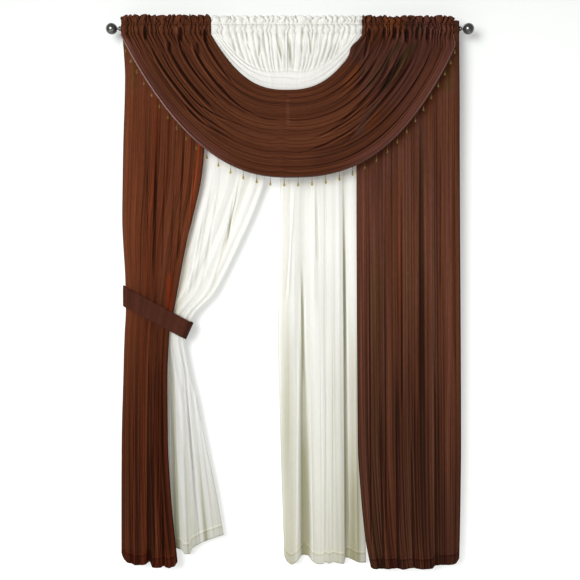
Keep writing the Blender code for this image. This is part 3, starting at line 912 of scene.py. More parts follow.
def soft_noise(seed, across, down):
    """Smooth uneven values from -1 to 1 that change over about one unit of either coordinate."""
    values = np.random.default_rng(seed).uniform(-1, 1, (NOISE_SIDE, NOISE_SIDE))
    across, down = np.broadcast_arrays(across, down)
    place = np.floor(across).astype(int)
    row = np.floor(down).astype(int)
    right = eased(across - place)

    def corner(aside, below):
        return values[(row + below) % NOISE_SIDE, (place + aside) % NOISE_SIDE]

    upper = mix(corner(0, 0), corner(1, 0), right)
    lower = mix(corner(0, 1), corner(1, 1), right)
    return mix(upper, lower, eased(down - row))


def crinkle(seed, across, down):
    """Fine pleats: 0 in their sharp valleys, up to 1 on their soft crests."""
    return np.sqrt(np.abs(soft_noise(seed, across, down)))


def pleated(seed, across, drop, count):
    """Fine upright pleats, uneven in width and depth, that wander a little on their way down."""
    place = across + 0.2 / count * soft_noise(seed, across * 5, drop / 0.9)
    deep = 0.7 + 0.3 * soft_noise(seed + 1, across * count / 3, drop / 0.8)
    return (puffs(np.clip(place, 0, 1), count, seed + 2) - 0.5) * deep


def creased(creases, x, drop):
    """How far the listed creases push the cloth forward, each on a line from its top to its foot."""
    forward = np.zeros_like(x)
    for crease in creases:
        part = (drop - crease.top_drop) / (crease.low_drop - crease.top_drop)
        middle = mix(crease.top_x, crease.low_x, part)
        width = crease.width * mix(CREASE_TOP_WIDTH, 1, np.clip(part, 0, 1))
        window = eased(part / CREASE_START) * (1 - past(part, CREASE_FADE))
        forward += crease.reach * window * np.exp(-(((x - middle) / width) ** 4))
    return forward


def beside(x, drop, line):
    """How far each point lies from a line in the front view, and the share of the line passed there."""
    nearest = np.full_like(x, 10.0)
    passed = np.zeros_like(x)
    for number, (start, end) in enumerate(zip(line, line[1:])):
        way = end - start
        part = np.clip(((x - start[0]) * way[0] + (drop - start[1]) * way[1]) / (way @ way), 0, 1)
        aside = (drop - start[1]) * way[0] - (x - start[0]) * way[1]
        away = np.hypot(x - start[0] - part * way[0], drop - start[1] - part * way[1])
        closer = away < np.abs(nearest)
        nearest = np.where(closer, np.where(aside < 0, -away, away), nearest)
        passed = np.where(closer, (number + part) / (len(line) - 1), passed)
    return nearest, passed


def swept(sweeps, x, drop):
    """The listed recesses of a swag: each follows its curve, with a ridge along its outer side."""
    forward = np.zeros_like(x)
    part = np.linspace(0, 1, SWEEP_POINTS)[:, None]
    for sweep in sweeps:
        start, bend, end = np.array(sweep[:6]).reshape(3, 2)
        pull = 2 * bend - (start + end) / 2
        line = (1 - part) ** 2 * start + 2 * part * (1 - part) * pull + part**2 * end
        away, passed = beside(x, drop, line)
        outward = away if end[0] > start[0] else -away
        window = eased(passed / SWEEP_START) * (1 - past(passed, SWEEP_FADE))
        recess = hump(outward, 0, sweep.width)
        ridge = RIDGE_SHARE * hump(outward, RIDGE_PLACE * sweep.width, RIDGE_WIDTH * sweep.width)
        forward += sweep.reach * window * (recess - ridge)
    return forward


def press_folds(front, sweeps):
    """Presses recesses into a valance's front, but not beyond each row's farthest point. Returns them."""
    pushed = swept(sweeps, front[:, :, 0], -front[:, :, 2])
    front[:, :, 1] = np.minimum(front[:, :, 1] - pushed, front[:, :, 1].max(axis=1, keepdims=True))
    return pushed


def surface_size(points):
    """The mean length of a cloth's rows, and of its columns."""
    size = []
    for axis in (1, 0):
        steps = np.linalg.norm(np.diff(points, axis=axis), axis=2)
        size.append(float(steps.sum(axis=axis).mean()))
    return size


def lengths_along(line):
    """The distance along a line to each of its points."""
    return np.concatenate([[0], np.cumsum(np.linalg.norm(np.diff(line, axis=0), axis=1))])


def unit(vectors):
    return vectors / np.linalg.norm(vectors, axis=1)[:, None]


def valance_heading(top):
    """The valances' pocket goes round the panels' pockets, and all its folds stand away from them."""
    low, middle, high = (mix(PINCH_HEIGHT, top, share) for share in (0.18, 0.45, 0.85))
    return (
        PathPoint(0.0026, VALANCE_SEAM_HEIGHT, 0, 0.0030, 0),
        PathPoint(0.0126, 0.0000, 0, 0.0050, 0),
        PathPoint(0.0026, PINCH_HEIGHT, 0, 0.0020, 0),
        PathPoint(0.0034, middle, 0.0050, 0, 0),
        PathPoint(0.0030, high, 0.0040, 0, 0.0060),
        PathPoint(0.0000, top, 0.0005, 0, 0.0090),
        PathPoint(-0.0030, high, 0.0080, 0, 0.0060),
        PathPoint(-0.0036, middle, 0.0140, 0, 0),
        PathPoint(-0.0036, low, 0.0110, 0.0010, 0),
        PathPoint(-0.0034, PINCH_HEIGHT, 0.0015, 0.0050, 0),
        PathPoint(-0.0100, 0.0090, 0, 0.0085, 0),
        PathPoint(-0.0124, 0.0000, 0, 0.0085, 0),
        PathPoint(-0.0100, -0.0110, 0, 0.0090, 0),
        PathPoint(VALANCE_SEAM_DEPTH, VALANCE_SEAM_HEIGHT, 0, 0.0120, 0),
    )


def puffs(place, count, seed, sharpness=0.65):
    """Gathers: broad rounded puffs with narrow creases between, uneven in width and height, from 0 to 1."""
    random = np.random.default_rng(seed)
    widths = random.uniform(0.5, 1.5, count)
    edges = np.concatenate([[0], np.cumsum(widths)]) / widths.sum()
    heights = random.uniform(0.6, 1.0, count)
    number = np.clip(np.searchsorted(edges, place, side="right") - 1, 0, count - 1)
    part = (place - edges[number]) / (edges[number + 1] - edges[number])
    return heights[number] * np.sin(np.pi * np.clip(part, 0, 1)) ** sharpness


def heading_rows(path, x, place, seed, puff_count, gather_count, step):
    """A heading's rows from its back hem to its front seam. The uneven shifts grow with the step."""
    numbers = np.arange(len(path))
    places = np.linspace(0, len(path) - 1, (len(path) - 1) * HEADING_STEPS + 1)
    smooth = [through(numbers, column(path, name), places) for name in PathPoint._fields]
    top = max(smooth[1])
    low = min(smooth[1])
    rows = []
    for depth, height, puff, pocket, sway in zip(*smooth):
        side = 1 if depth > HEADING_BACK_DEPTH else -1
        raised = eased((height - PINCH_HEIGHT) / (top - PINCH_HEIGHT))
        uneven = soft_noise(seed + 2, place * puff_count * 1.7, height / RUFFLE_UNEVEN_HEIGHT)
        curl = HEADING_CURL * eased((height - low) / HEADING_CURL_RISE)
        curl = curl * soft_noise(seed + 5, place * gather_count * 0.8, height / HEADING_CURL_HEIGHT)
        ruffle = puffs(place + curl / puff_count, puff_count, seed)
        gather = puffs(place + curl / gather_count, gather_count, seed + 1)
        frill = puffs(place - curl / puff_count, puff_count * 5 // 2, seed + 3)
        puffed = ruffle * (1 + RUFFLE_UNEVEN * uneven) + FRILL_SHARE * frill
        out = puff * puffed + pocket * gather
        y = depth + side * out - sway * (ruffle - PUFF_LEVEL)
        lift = RUFFLE_LIFT * raised * (ruffle - RUFFLE_LIFT_LEVEL)
        shifted = raised + POCKET_SHIFT * hump(height, 0, POCKET_HALF_HEIGHT)
        shift = RUFFLE_SHIFT * shifted * uneven * step
        rows.append(np.column_stack([x + shift, y, height + lift]))
    return rows


def held_share(x, z):
    """1 where the tieback holds the cloth at this place, easing to 0 above and below."""
    along = (x - TIE_LEFT_END[0]) / (TIE_RIGHT_END[0] - TIE_LEFT_END[0])
    middle = mix(TIE_LEFT_END[1], TIE_RIGHT_END[1], np.clip(along, 0, 1))
    return 1 - eased((np.abs(z - middle) - TIE_HELD) / TIE_EASE)


def panel_shares():
    """How far down a panel each of its rows lies. They are closer together at the hem."""
    turn = 1 - 1.4 * HEM_HEIGHT / NOMINAL_LENGTH
    upper = np.linspace(0, turn, PANEL_ROWS + 1)[1:]
    lower = np.linspace(turn, 1, HEM_ROWS + 1)[1:]
    return np.concatenate([upper, lower])[:, None]


def panel_body(panel):
    """The front of a panel below its seam, and how deep its folds are there."""
    folds = panel.folds
    numbers = np.arange(len(folds))
    place = np.linspace(0, len(folds) - 1, (len(folds) - 1) * PANEL_COLUMNS_A_FOLD + 1)
    at_top = through(numbers, column(folds, "at_top"), place)
    at_hem = through(numbers, column(folds, "at_hem"), place)
    top = panel.stations[0]
    drops = column(panel.stations, "drop")
    share = panel_shares()
    across = mix(at_top, at_hem, share)
    plain_drop = mix(top.drop, NOMINAL_LENGTH, share)
    inside = eased(across / PANEL_SIDE) * eased((1 - across) / PANEL_SIDE)
    wander = FOLD_WANDER * inside * soft_noise(panel.seed, place / 1.7, plain_drop / 0.5)
    uneven = 1 + FOLD_UNEVEN * soft_noise(panel.seed + 1, place / 1.3, plain_drop / 0.4)
    wave = through(numbers, column(folds, "reach"), np.clip(place + wander, 0, len(folds) - 1)) * uneven

    hem = through(column(panel.hem, "across"), column(panel.hem, "drop"), across)
    drop = mix(top.drop, hem, share)
    left = through(drops, column(panel.stations, "left"), drop)
    right = through(drops, column(panel.stations, "right"), drop)
    x = mix(left, right, across)
    held = held_share(x, -drop) if panel.held_reach else np.zeros_like(x)
    grown = eased((drop - top.drop) / PANEL_REACH_DROP)
    free_reach = mix(panel.reach, panel.low_reach, past(drop, LOW_REACH_ZONE))
    reach = mix(free_reach, panel.held_reach, held) * grown
    fine = pleated(panel.seed + 2, across, plain_drop, panel.pleats)
    broad = pleated(panel.seed + 5, across, plain_drop, panel.pleats // 2)
    pleats = PANEL_FINE_PLEATS * fine + PANEL_BROAD_PLEATS * broad
    pleat = panel.pleat_reach * pleats * grown * mix(PLEAT_AT_SIDE, 1, inside)
    calm = 1 - HELD_CALM * held
    main = reach * wave + creased(panel.creases, x, drop) * calm
    turned = EDGE_TURN * (1 - eased(np.minimum(across, 1 - across) / EDGE_TURN_OVER)) * grown
    forward = main + pleat * calm - turned

    depth = mix(panel.depth, panel.held_depth, held) * eased((drop - top.drop) / PANEL_DEPTH_DROP)
    from_hem = (1 - share) * NOMINAL_LENGTH
    stitched = HEM_STITCH * hump(from_hem, HEM_HEIGHT, STITCH_WIDTH)
    y = np.minimum(PANEL_SEAM_DEPTH + depth - forward + stitched, PANEL_FARTHEST)
    return np.stack([x, y, -drop], axis=2), at_top


def panel_points(panel):
    """The points of a panel, from the hem behind its pocket to the turned-up hem at its foot."""
    body, at_top = panel_body(panel)
    top = panel.stations[0]
    x = mix(top.left, top.right, at_top)
    shape = (panel.seed, PANEL_PUFFS, PANEL_GATHERS, PANEL_HEADING_SHIFT)
    heading = heading_rows(PANEL_HEADING, x, at_top, *shape)
    turned_up = body[-2 : -TURNED_FACES - 3 : -1].copy()
    turned_up[:, :, 1] += HEM_GAP
    return np.concatenate([np.array(heading), body, turned_up])


def swag_columns():
    """Where each column of the swag lies at its heading and at its middle, its fold's wave and its width."""
    parts, shape = zip(*FOLD_SHAPE)
    part = np.arange(SWAG_COLUMNS_A_FOLD) / SWAG_COLUMNS_A_FOLD
    fold_wave = through(parts, shape, part)
    heading, middle, waves, widths = [], [], [], []
    for start, end in zip(SWAG_FOLDS, SWAG_FOLDS[1:]):
        heading.append(mix(start.at_heading, end.at_heading, part))
        middle.append(mix(start.at_middle, end.at_middle, part))
        waves.append(fold_wave * mix(start.reach, end.reach, part))
        widths.append(np.full(len(part), end.at_middle - start.at_middle))
    last = part > SWAG_EDGE_ZONE[0]
    waves[-1][last] = mix(waves[-1][last], SWAG_EDGE_WAVE, past(part[last], SWAG_EDGE_ZONE))
    heading = np.concatenate([*heading, [1.0]])
    middle = np.concatenate([*middle, [1.0]])
    wave = np.concatenate([*waves, [SWAG_EDGE_WAVE]])
    width = np.concatenate([*widths, [0.0]])
    return heading, middle, wave, width


def swag_depth(fall, wave):
    """How far forward the swag hangs at this distance below its seam."""
    part = np.clip(fall / SWAG_FORWARD_DROP, 0, 1)
    forward = SWAG_FORWARD * (1 - (1 - part) ** SWAG_FORWARD_POWER)
    folds = SWAG_REACH * eased(fall / SWAG_REACH_DROP) * wave
    return VALANCE_SEAM_DEPTH - SWAG_STAND_OFF - forward - folds


def swag_curve(turn, heading, middle):
    """A line across the swag at a turn, from -1 at its left heading to 1 at its right one: its x and fall."""
    left = mix(*SWAG_LEFT, heading)
    right = mix(*SWAG_RIGHT, heading)
    power = mix(*(SWAG_POWER_LEFT if turn < 0 else SWAG_POWER_RIGHT), heading)
    out = math.sin(turn * math.pi / 2)
    depth = mix(*SWAG_MIDDLE_DROP, middle) + VALANCE_SEAM_HEIGHT
    fall = depth * (1 - abs(out) ** power)
    half = (right - left) / 2
    if turn > 0:
        half = half + SWAG_FLARE * heading * eased(fall / SWAG_FLARE_DROP)
    return (left + right) / 2 + half * out, fall


def swag_row(turn, columns, gather):
    """One row of the swag: strong shingled folds at the sides, soft ones in the middle, and its creases."""
    heading, middle, wave, width = columns
    aside = past(abs(turn), SWAG_SIDE_ZONE)
    _, fall = swag_curve(turn, heading, middle)
    edge = eased(heading / SWAG_INNER_EDGE) * eased((1 - heading) / SWAG_OUTER_EDGE)
    lean = SWAG_LEAN * width * (0.5 + 0.5 * wave) * past(fall, SWAG_LEAN_ZONE) * edge * aside
    x, fall = swag_curve(turn, heading + lean, middle + lean)
    uneven = 1 + SWAG_UNEVEN * soft_noise(70, heading * 9, turn * 3)
    main = mix(wave, wave * (SWAG_MIDDLE_WAVE + SWAG_SIDE_WAVE * aside) * uneven, edge)
    calm = SWAG_CALM_LEFT if turn < 0 else SWAG_CALM_RIGHT
    busy = 1 - calm * aside * past(heading, SWAG_CALM_ZONE)
    gathered = SWAG_GATHER_REACH * (1 - 0.5 * eased(fall / SWAG_GATHER_SETTLE))
    gathered = gathered * (1 - past(fall, SWAG_GATHER_FADE))
    gathered = gathered * mix(1, busy, past(fall, SWAG_BUSY_ZONE))
    lowered = PUFF_LEVEL * eased(fall / SWAG_LOWER_OVER)
    across = middle + SWAG_SEAM_PULL * hump(turn, SWAG_SEAM_TURN, SWAG_SEAM_PULL_TURN)
    fine = pleated(71, across, turn, SWAG_PLEATS)
    fine = fine + SWAG_FINE_PLEATS * pleated(74, across, turn * 2, SWAG_PLEATS * 5 // 2)
    fine = SWAG_PLEAT_REACH * fine * mix(SWAG_MIDDLE_PLEATS, 1, aside) * eased(fall / SWAG_PLEAT_DROP) * busy
    seam = SWAG_SEAM_REACH * hump(turn, SWAG_SEAM_TURN, SWAG_SEAM_WIDTH)
    lines = sum(hump(heading, line, SWAG_LINE_WIDTH) for line in SWAG_BAND_LINES)
    lines = SWAG_LINE_REACH * lines * eased(fall / 0.03)
    y = swag_depth(fall, main) - gathered * (gather - lowered) - (fine + seam) * edge - lines
    y = np.where(fall < SWAG_COVERED_FALL, np.minimum(y, SWAG_NEAREST), y)
    if turn > 0:
        lobe = hump(fall, SWAG_LOBE_DROP, SWAG_LOBE_HIGH) * (1 - eased(heading / SWAG_LOBE_SHARE))
        x = x - SWAG_LOBE_REACH * lobe
    return np.column_stack([x, y, VALANCE_SEAM_HEIGHT - fall])


def swag_points():
    """The swag's points, how far across it each column lies, and how far its recesses push each point."""
    columns = swag_columns()
    heading = columns[0]
    left_gather, right_gather = (puffs(heading, SWAG_GATHERS, seed + 1) for seed in SWAG_SEEDS)
    left, right = (
        heading_rows(valance_heading(top), mix(*ends, heading), heading, seed, SWAG_PUFFS, SWAG_GATHERS, 1)
        for top, ends, seed in zip(SWAG_RUFFLE_TOPS, (SWAG_LEFT, SWAG_RIGHT), SWAG_SEEDS)
    )
    front = []
    for step in range(1, SWAG_ROWS):
        turn = 2 * step / SWAG_ROWS - 1
        front.append(swag_row(turn, columns, left_gather if turn < 0 else right_gather))
    points = np.array([*left, *front, *reversed(right)])
    pushed = press_folds(points[VALANCE_BACK_ROWS:-VALANCE_BACK_ROWS], SWAG_SWEEPS)
    return points, heading, np.pad(pushed, ((VALANCE_BACK_ROWS, VALANCE_BACK_ROWS), (0, 0)))


def insert_gathers(out, fall):
    """The insert's gathers below its heading, drawn together on their way down."""
    narrowed = (1 - np.clip(fall / INSERT_DRAWN_FALL, 0, 0.98)) ** (1 / INSERT_POWER)
    drawn = out / mix(1, narrowed, INSERT_DRAWN)
    gather = puffs(0.5 + 0.5 * np.clip(drawn, -1, 1), INSERT_GATHERS, 56, 0.7)
    uneven = 1 + 0.5 * soft_noise(92, drawn * 14, fall / 0.05)
    below = eased(fall / 0.04)
    crease = crinkle(91, drawn * 30, fall / 0.06) - 0.5
    hung = mix(*INSERT_GATHER_REACH, below) * (gather * uneven - PUFF_LEVEL * below)
    return hung + INSERT_CREASE_REACH * crease


def insert_band(across, inward):
    """The insert's curved folds along the swag's edge, by the distance from it in widths of their band."""
    phase = INSERT_BAND_FOLDS * inward + 0.25 * soft_noise(90, across * 5, inward * 2)
    return INSERT_BAND_REACH * (np.abs(np.sin(np.pi * phase)) ** 0.8 - 0.5) + INSERT_BAND_FORWARD


def insert_points():
    """The ivory insert: gathers below its heading, tucked in behind curved folds along the swag's edge."""
    across = np.linspace(0, 1, INSERT_COLUMNS + 1)
    x = mix(INSERT_LEFT, INSERT_RIGHT, across)
    out = 2 * across - 1
    rows = heading_rows(valance_heading(INSERT_RUFFLE_TOP), x, across, 55, INSERT_PUFFS, INSERT_GATHERS, 1)
    swag_half = (SWAG_RIGHT[0] - SWAG_LEFT[0]) / 2
    aside = np.clip(np.abs(x - (SWAG_RIGHT[0] + SWAG_LEFT[0]) / 2) / swag_half, 0, 1)
    deepest = SWAG_MIDDLE_DROP[0] + VALANCE_SEAM_HEIGHT
    edge_fall = deepest * (1 - aside**INSERT_POWER)
    slope = deepest * INSERT_POWER * aside ** (INSERT_POWER - 1) / swag_half
    band = mix(*INSERT_BAND, aside**1.2)
    for step in range(1, INSERT_ROWS + 1):
        share = step / INSERT_ROWS
        middle = (INSERT_MIDDLE_DROP + VALANCE_SEAM_HEIGHT) * share
        fall = mix(INSERT_SIDE_DROP * share, middle, 1 - np.abs(out) ** INSERT_POWER)
        inward = (edge_fall - fall) / np.sqrt(1 + slope**2) / band
        in_band = 1 - past(inward, INSERT_BAND_ZONE)
        folds = mix(insert_gathers(out, fall), insert_band(across, inward), in_band) * (1 - np.abs(out) ** 10)
        forward = INSERT_FORWARD * eased(fall / INSERT_FORWARD_DROP)
        y = np.minimum(VALANCE_SEAM_DEPTH - INSERT_STAND_OFF - forward - folds, INSERT_NEAREST)
        rows.append(np.column_stack([x, y, VALANCE_SEAM_HEIGHT - fall]))
    points = np.array(rows)
    press_folds(points[VALANCE_BACK_ROWS:], INSERT_SWEEPS)
    return points


def edge_line():
    """The swag's outer edge, and the way out of the cloth there in the front view."""

    def place(turn, share):
        x, fall = swag_curve(turn, share, share)
        return x, swag_depth(fall, SWAG_EDGE_WAVE), VALANCE_SEAM_HEIGHT - fall

    turns = np.linspace(-1, 1, EDGE_STEPS)[EDGE_TRIM:-EDGE_TRIM]
    edge, inside = (np.array([place(turn, share) for turn in turns]) for share in (1.0, 0.99))
    return edge, unit((edge - inside) * np.array([1, 0, 1]))


def along_edge(count, first, last):
    """Points that part the edge line into equal lengths, between two shares of it."""
    edge, way = edge_line()
    lengths = lengths_along(edge)
    wanted = np.linspace(first, last, count) * lengths[-1]
    middle = edge + way * (BRAID_GAP + BRAID_WIDTH / 2)
    middle[:, 1] -= BRAID_FORWARD
    return np.column_stack([np.interp(wanted, lengths, middle[:, axis]) for axis in range(3)])


def make_braid(material):
    """The braid along the swag's outer edge: a flat plait, its strands raised by turning ridges."""
    line = along_edge(BRAID_POINTS, 0, 1)
    forward = np.array([0, -1.0, 0])
    up = unit(np.cross(forward, unit(np.gradient(line, axis=0))))
    turn = lengths_along(line) / BRAID_TWIST * 2 * np.pi
    rings = []
    for angle in np.linspace(0, 2 * np.pi, BRAID_SIDES + 1):
        plait = 1 + BRAID_RELIEF * np.sin(turn + 2 * angle)
        wide = BRAID_HALF_WIDTH * math.cos(angle)
        thick = BRAID_HALF_THICKNESS * math.sin(angle)
        rings.append(line + plait[:, None] * (up * wide + forward * thick))
    dress(grid_object("bead_braid", np.array(rings)), "bead_trim", material)


def make_drops(name, rings, material):
    """One joined mesh of all the drops' stems, or of all their beads."""
    joined = bmesh.new()
    for root in along_edge(DROP_COUNT, *DROP_ENDS):
        centre = Vector(root)
        places = [centre + Vector((ring.radius, 0, -ring.share * DROP_LENGTH)) for ring in rings]
        profile = [joined.verts.new(place) for place in places]
        edges = [joined.edges.new(pair) for pair in zip(profile, profile[1:])]
        turn = {"cent": centre, "axis": (0, 0, 1), "angle": 2 * math.pi, "steps": DROP_SIDES}
        bmesh.ops.spin(joined, geom=profile + edges, use_merge=True, **turn)
    bmesh.ops.remove_doubles(joined, verts=joined.verts, dist=MERGED_BELOW)
    bmesh.ops.holes_fill(joined, edges=joined.edges, sides=DROP_SIDES)
    bmesh.ops.recalc_face_normals(joined, faces=joined.faces)
    mesh = bpy.data.meshes.new(name)
    joined.to_mesh(mesh)
    joined.free()
    mesh.shade_smooth()
    dress(in_scene(name, mesh), "bead_trim", material)


def tie_loop():
    """The loop's points in plan, as distances along the band and depths, once round, and its length."""
    radius = (TIE_BACK - TIE_FRONT) / 2
    centre = (TIE_BACK + TIE_FRONT) / 2
    length = math.dist(TIE_LEFT_END, TIE_RIGHT_END)
    part = np.arange(TIE_STEPS) / TIE_STEPS
    turn = np.pi * np.arange(TIE_STEPS // 2 + 1) / (TIE_STEPS // 2)
    front = (mix(radius, length - radius, part), np.full(TIE_STEPS, TIE_FRONT))
    right = (length - radius + radius * np.sin(turn[:-1]), centre - radius * np.cos(turn[:-1]))
    back = (mix(length - radius, radius, part), np.full(TIE_STEPS, TIE_BACK))
    left = (radius - radius * np.sin(turn), centre + radius * np.cos(turn))
    return np.hstack([front, right, back, left]).T, length


def tie_points():
    loop, length = tie_loop()
    share = (loop[:, 0] / length)[:, None]
    centre = mix(np.array(TIE_LEFT_END), np.array(TIE_RIGHT_END), share)
    edge = mix(np.array(TIE_LEFT_EDGE), np.array(TIE_RIGHT_EDGE), share)
    middle_depth = (TIE_BACK + TIE_FRONT) / 2
    rows = []
    for side in np.linspace(-1, 1, TIE_ROWS + 1):
        place = centre + edge * side
        ripple = TIE_RIPPLE * np.sin(loop[:, 0] * 90 + 4 * side) * (1 - side**2)
        puff = TIE_PUFF * math.cos(side * math.pi / 2) + ripple
        depth = loop[:, 1] + np.sign(loop[:, 1] - middle_depth) * puff
        rows.append(np.column_stack([place[:, 0], depth, place[:, 1]]))
    return np.array(rows)


def finial_profile():
    """A finial's radii and places along the rod, from its ball's outer end to its spigot's inner one."""
    profile = [(0, BALL_CENTRE + BALL_RADIUS)]
    last = -math.acos(NECK_RADIUS / BALL_RADIUS)
    for step in range(1, BALL_RINGS + 1):
        angle = mix(math.pi / 2, last, step / BALL_RINGS)
        profile.append((BALL_RADIUS * math.cos(angle), BALL_CENTRE + BALL_RADIUS * math.sin(angle)))
    profile += [
        (NECK_RADIUS * 0.92, mix(profile[-1][1], COLLAR_END, 0.5)),
        (NECK_RADIUS, COLLAR_END + 0.0006),
        (COLLAR_RADIUS - COLLAR_BEVEL, COLLAR_END),
        (COLLAR_RADIUS, COLLAR_END - COLLAR_BEVEL),
        (COLLAR_RADIUS, COLLAR_START + COLLAR_BEVEL),
        (COLLAR_RADIUS - COLLAR_BEVEL, COLLAR_START),
        (SPIGOT_RADIUS, COLLAR_START),
        (SPIGOT_RADIUS, SPIGOT_END),
        (0, SPIGOT_END),
    ]
    return profile


def make_finial(name, side, material):
    mesh = bpy.data.meshes.new(name)
    profile = finial_profile()
    edges = [(number, number + 1) for number in range(len(profile) - 1)]
    mesh.from_pydata([(radius, 0, along) for radius, along in profile], edges, [])
    made = in_scene(name, mesh)
    screw = made.modifiers.new("turn", "SCREW")
    screw.steps = FINIAL_STEPS
    screw.render_steps = FINIAL_STEPS
    screw.use_merge_vertices = True
    screw.merge_threshold = MERGED_BELOW
    screw.use_smooth_shade = True
    made.rotation_euler = (0, side * math.pi / 2, 0)
    dress(made, name.replace("dressed_", ""), material)


class Nodes:
    """The nodes of one material. A socket takes a plain value or another node's output."""

    def __init__(self, name):
        self.material = bpy.data.materials.new(name)
        self.material.use_nodes = True
        self.tree = self.material.node_tree
        self.shader = self.tree.nodes["Principled BSDF"]
        self.output = self.tree.nodes["Material Output"]

    def feed(self, node, sockets):
        """Gives each of these sockets, by name, its value or the output that it takes."""
        for name, source in sockets.items():
            if isinstance(source, bpy.types.NodeSocket):
                self.tree.links.new(source, node.inputs[name])
            else:
                node.inputs[name].default_value = source

    def add(self, kind, output, sockets, **settings):
        """Adds a node and returns its output of this name."""
        node = self.tree.nodes.new(kind)
        for name, value in settings.items():
            setattr(node, name, value)
        self.feed(node, sockets)
        return node.outputs[output]

    def mapped(self, coordinate, scale):
        place = self.add("ShaderNodeTexCoord", coordinate, {})
        return self.add("ShaderNodeMapping", "Vector", {"Vector": place, "Scale": scale})

    def noise(self, coordinate, scale, detail):
        place = self.mapped(coordinate, scale)
        sockets = {"Vector": place, "Scale": 1.0, "Detail": detail, "Roughness": 0.55}
        return self.add("ShaderNodeTexNoise", "Fac", sockets)

    def ramp(self, value, *stops):
        """A colour that runs through (place, colour) stops as the value runs from 0 to 1."""
        made = self.add("ShaderNodeValToRGB", "Color", {"Fac": value})
        elements = made.node.color_ramp.elements
        for place, _ in stops[2:]:
            elements.new(place)
        for element, (place, colour) in zip(elements, stops):
            element.position = place
            element.color = (*colour, 1)
        return made

    def attribute(self, name):
        return self.add("ShaderNodeAttribute", "Fac", {}, attribute_name=name)

    def multiplied(self, first, second):
        sockets = {"Factor": 1.0, "A": first, "B": second}
        return self.add("ShaderNodeMix", "Result", sockets, data_type="RGBA", blend_type="MULTIPLY")

    def bump(self, height, strength, distance, **normal):
        sockets = {"Height": height, "Strength": strength, "Distance": distance, **normal}
        return self.add("ShaderNodeBump", "Normal", sockets)

    def thinned(self, lit, colour, share):
        """Lets this share of the light go straight through the lit shader, in this colour."""
        clear = self.add("ShaderNodeBsdfTransparent", "BSDF", {"Color": (*colour, 1)})
        sheer = self.add("ShaderNodeMixShader", "Shader", {"Fac": share, 1: lit, 2: clear})
        self.feed(self.output, {"Surface": sheer})


# Finishes. Cells are a voile's grain, across and along it in metres. Scales are grains to the metre
WHITE = (1, 1, 1)
THREAD_CELL = (0.0045, 0.50)
STRAND_CELL = (0.022, 0.60)
SLUB_CELL = (0.006, 0.022)
PATCH_CELL = (0.20, 0.30)
CRINKLE_CELL = (0.004, 0.05)
WEAVE_CELL = (0.0015, 0.0015)
PATCH_SHADE = (0.93, 0.92, 0.93)
THREAD_SCALE = (700, 700, 700)
BRUSH_SCALE = (900, 900, 60)
WEAR_SCALE = (120, 120, 120)
METAL_DARK = (0.09, 0.09, 0.088)
METAL_LIGHT = (0.18, 0.18, 0.175)
SWIRL_SCALE = (160, 160, 320)
AMBER_DARK = (0.13, 0.095, 0.03)
AMBER_LIGHT = (0.30, 0.235, 0.10)
AMBER_CLEAR = (0.86, 0.76, 0.36)
AMBER_CLEAR_SHARE = 0.74
STEM_THREAD = ((0.03, 0.012, 0.008), (0.08, 0.03, 0.015))
BRAID_THREAD = ((0.09, 0.052, 0.046), (0.25, 0.16, 0.145))
# The braid's painted shade along its length: darkest through its middle, and darker towards its right end
# than its left
BRAID_FOOT_SHADE = (0.34, 0.25, 0.22)
BRAID_PAINTED_SHADE = ((0.22, WHITE), (0.36, BRAID_FOOT_SHADE), (0.66, BRAID_FOOT_SHADE), (0.85, (0.60, 0.50, 0.48)))
# A voile's valley and level are shares of its colour that paint shade: the most in the folds' valleys, less
# on the level cloth, none on the crests
Voile = namedtuple(
    "Voile",
    "dark light valley level moss cool plain warm glow clear "
    "clear_share glow_share roughness threads",
)
BROWN_VOILE = Voile(
    dark=(0.230, 0.059, 0.020), light=(0.450, 0.132, 0.050),
    valley=(0.10, 0.070, 0.055), level=(0.62, 0.60, 0.58),
    moss=(0.42, 0.58, 0.45), cool=(0.54, 0.56, 0.76), plain=(0.48, 0.48, 0.48), warm=(0.95, 0.42, 0.20),
    glow=(0.30, 0.070, 0.018), clear=(0.60, 0.22, 0.10),
    clear_share=0.03, glow_share=0.20, roughness=0.85, threads=0.62,
)
BROWN_RIGHT_VOILE = BROWN_VOILE._replace(dark=(0.212, 0.073, 0.036), light=(0.420, 0.161, 0.086))
SWAG_VOILE = BROWN_VOILE._replace(
    dark=(0.252, 0.070, 0.025), light=(0.506, 0.156, 0.063), valley=(0.13, 0.105, 0.10),
    moss=(0.26, 0.45, 0.42), cool=(0.40, 0.45, 0.78), plain=(0.33, 0.33, 0.33), warm=(0.46, 0.40, 0.18),
    glow=(0.22, 0.055, 0.02), clear_share=0.01, glow_share=0.10, roughness=0.80, threads=0.70,
)
TIE_CLOTH = BROWN_VOILE._replace(
    dark=(0.062, 0.016, 0.008), light=(0.108, 0.031, 0.016),
    valley=(0.40, 0.38, 0.36), level=(0.80, 0.80, 0.80),
    moss=(0.80, 0.80, 0.95), cool=(0.80, 0.80, 0.95), plain=(0.80, 0.80, 0.80), warm=(1.0, 0.80, 0.60),
    glow=(0.20, 0.05, 0.02), clear_share=0.0, glow_share=0.03, threads=0.80,
)
IVORY_VOILE = Voile(
    dark=(0.93, 0.93, 0.91), light=(0.98, 0.98, 0.965),
    valley=(0.30, 0.29, 0.18), level=(0.97, 0.97, 0.955),
    moss=(0.82, 0.83, 0.90), cool=(0.88, 0.88, 0.92), plain=(0.92, 0.92, 0.915), warm=(0.92, 0.88, 0.73),
    glow=(0.92, 0.92, 0.87), clear=(1.0, 1.0, 0.98),
    clear_share=0.10, glow_share=0.30, roughness=0.85, threads=0.92,
)
INSERT_VOILE = IVORY_VOILE._replace(plain=(0.98, 0.98, 0.975))


def grey(level):
    return (level, level, level)


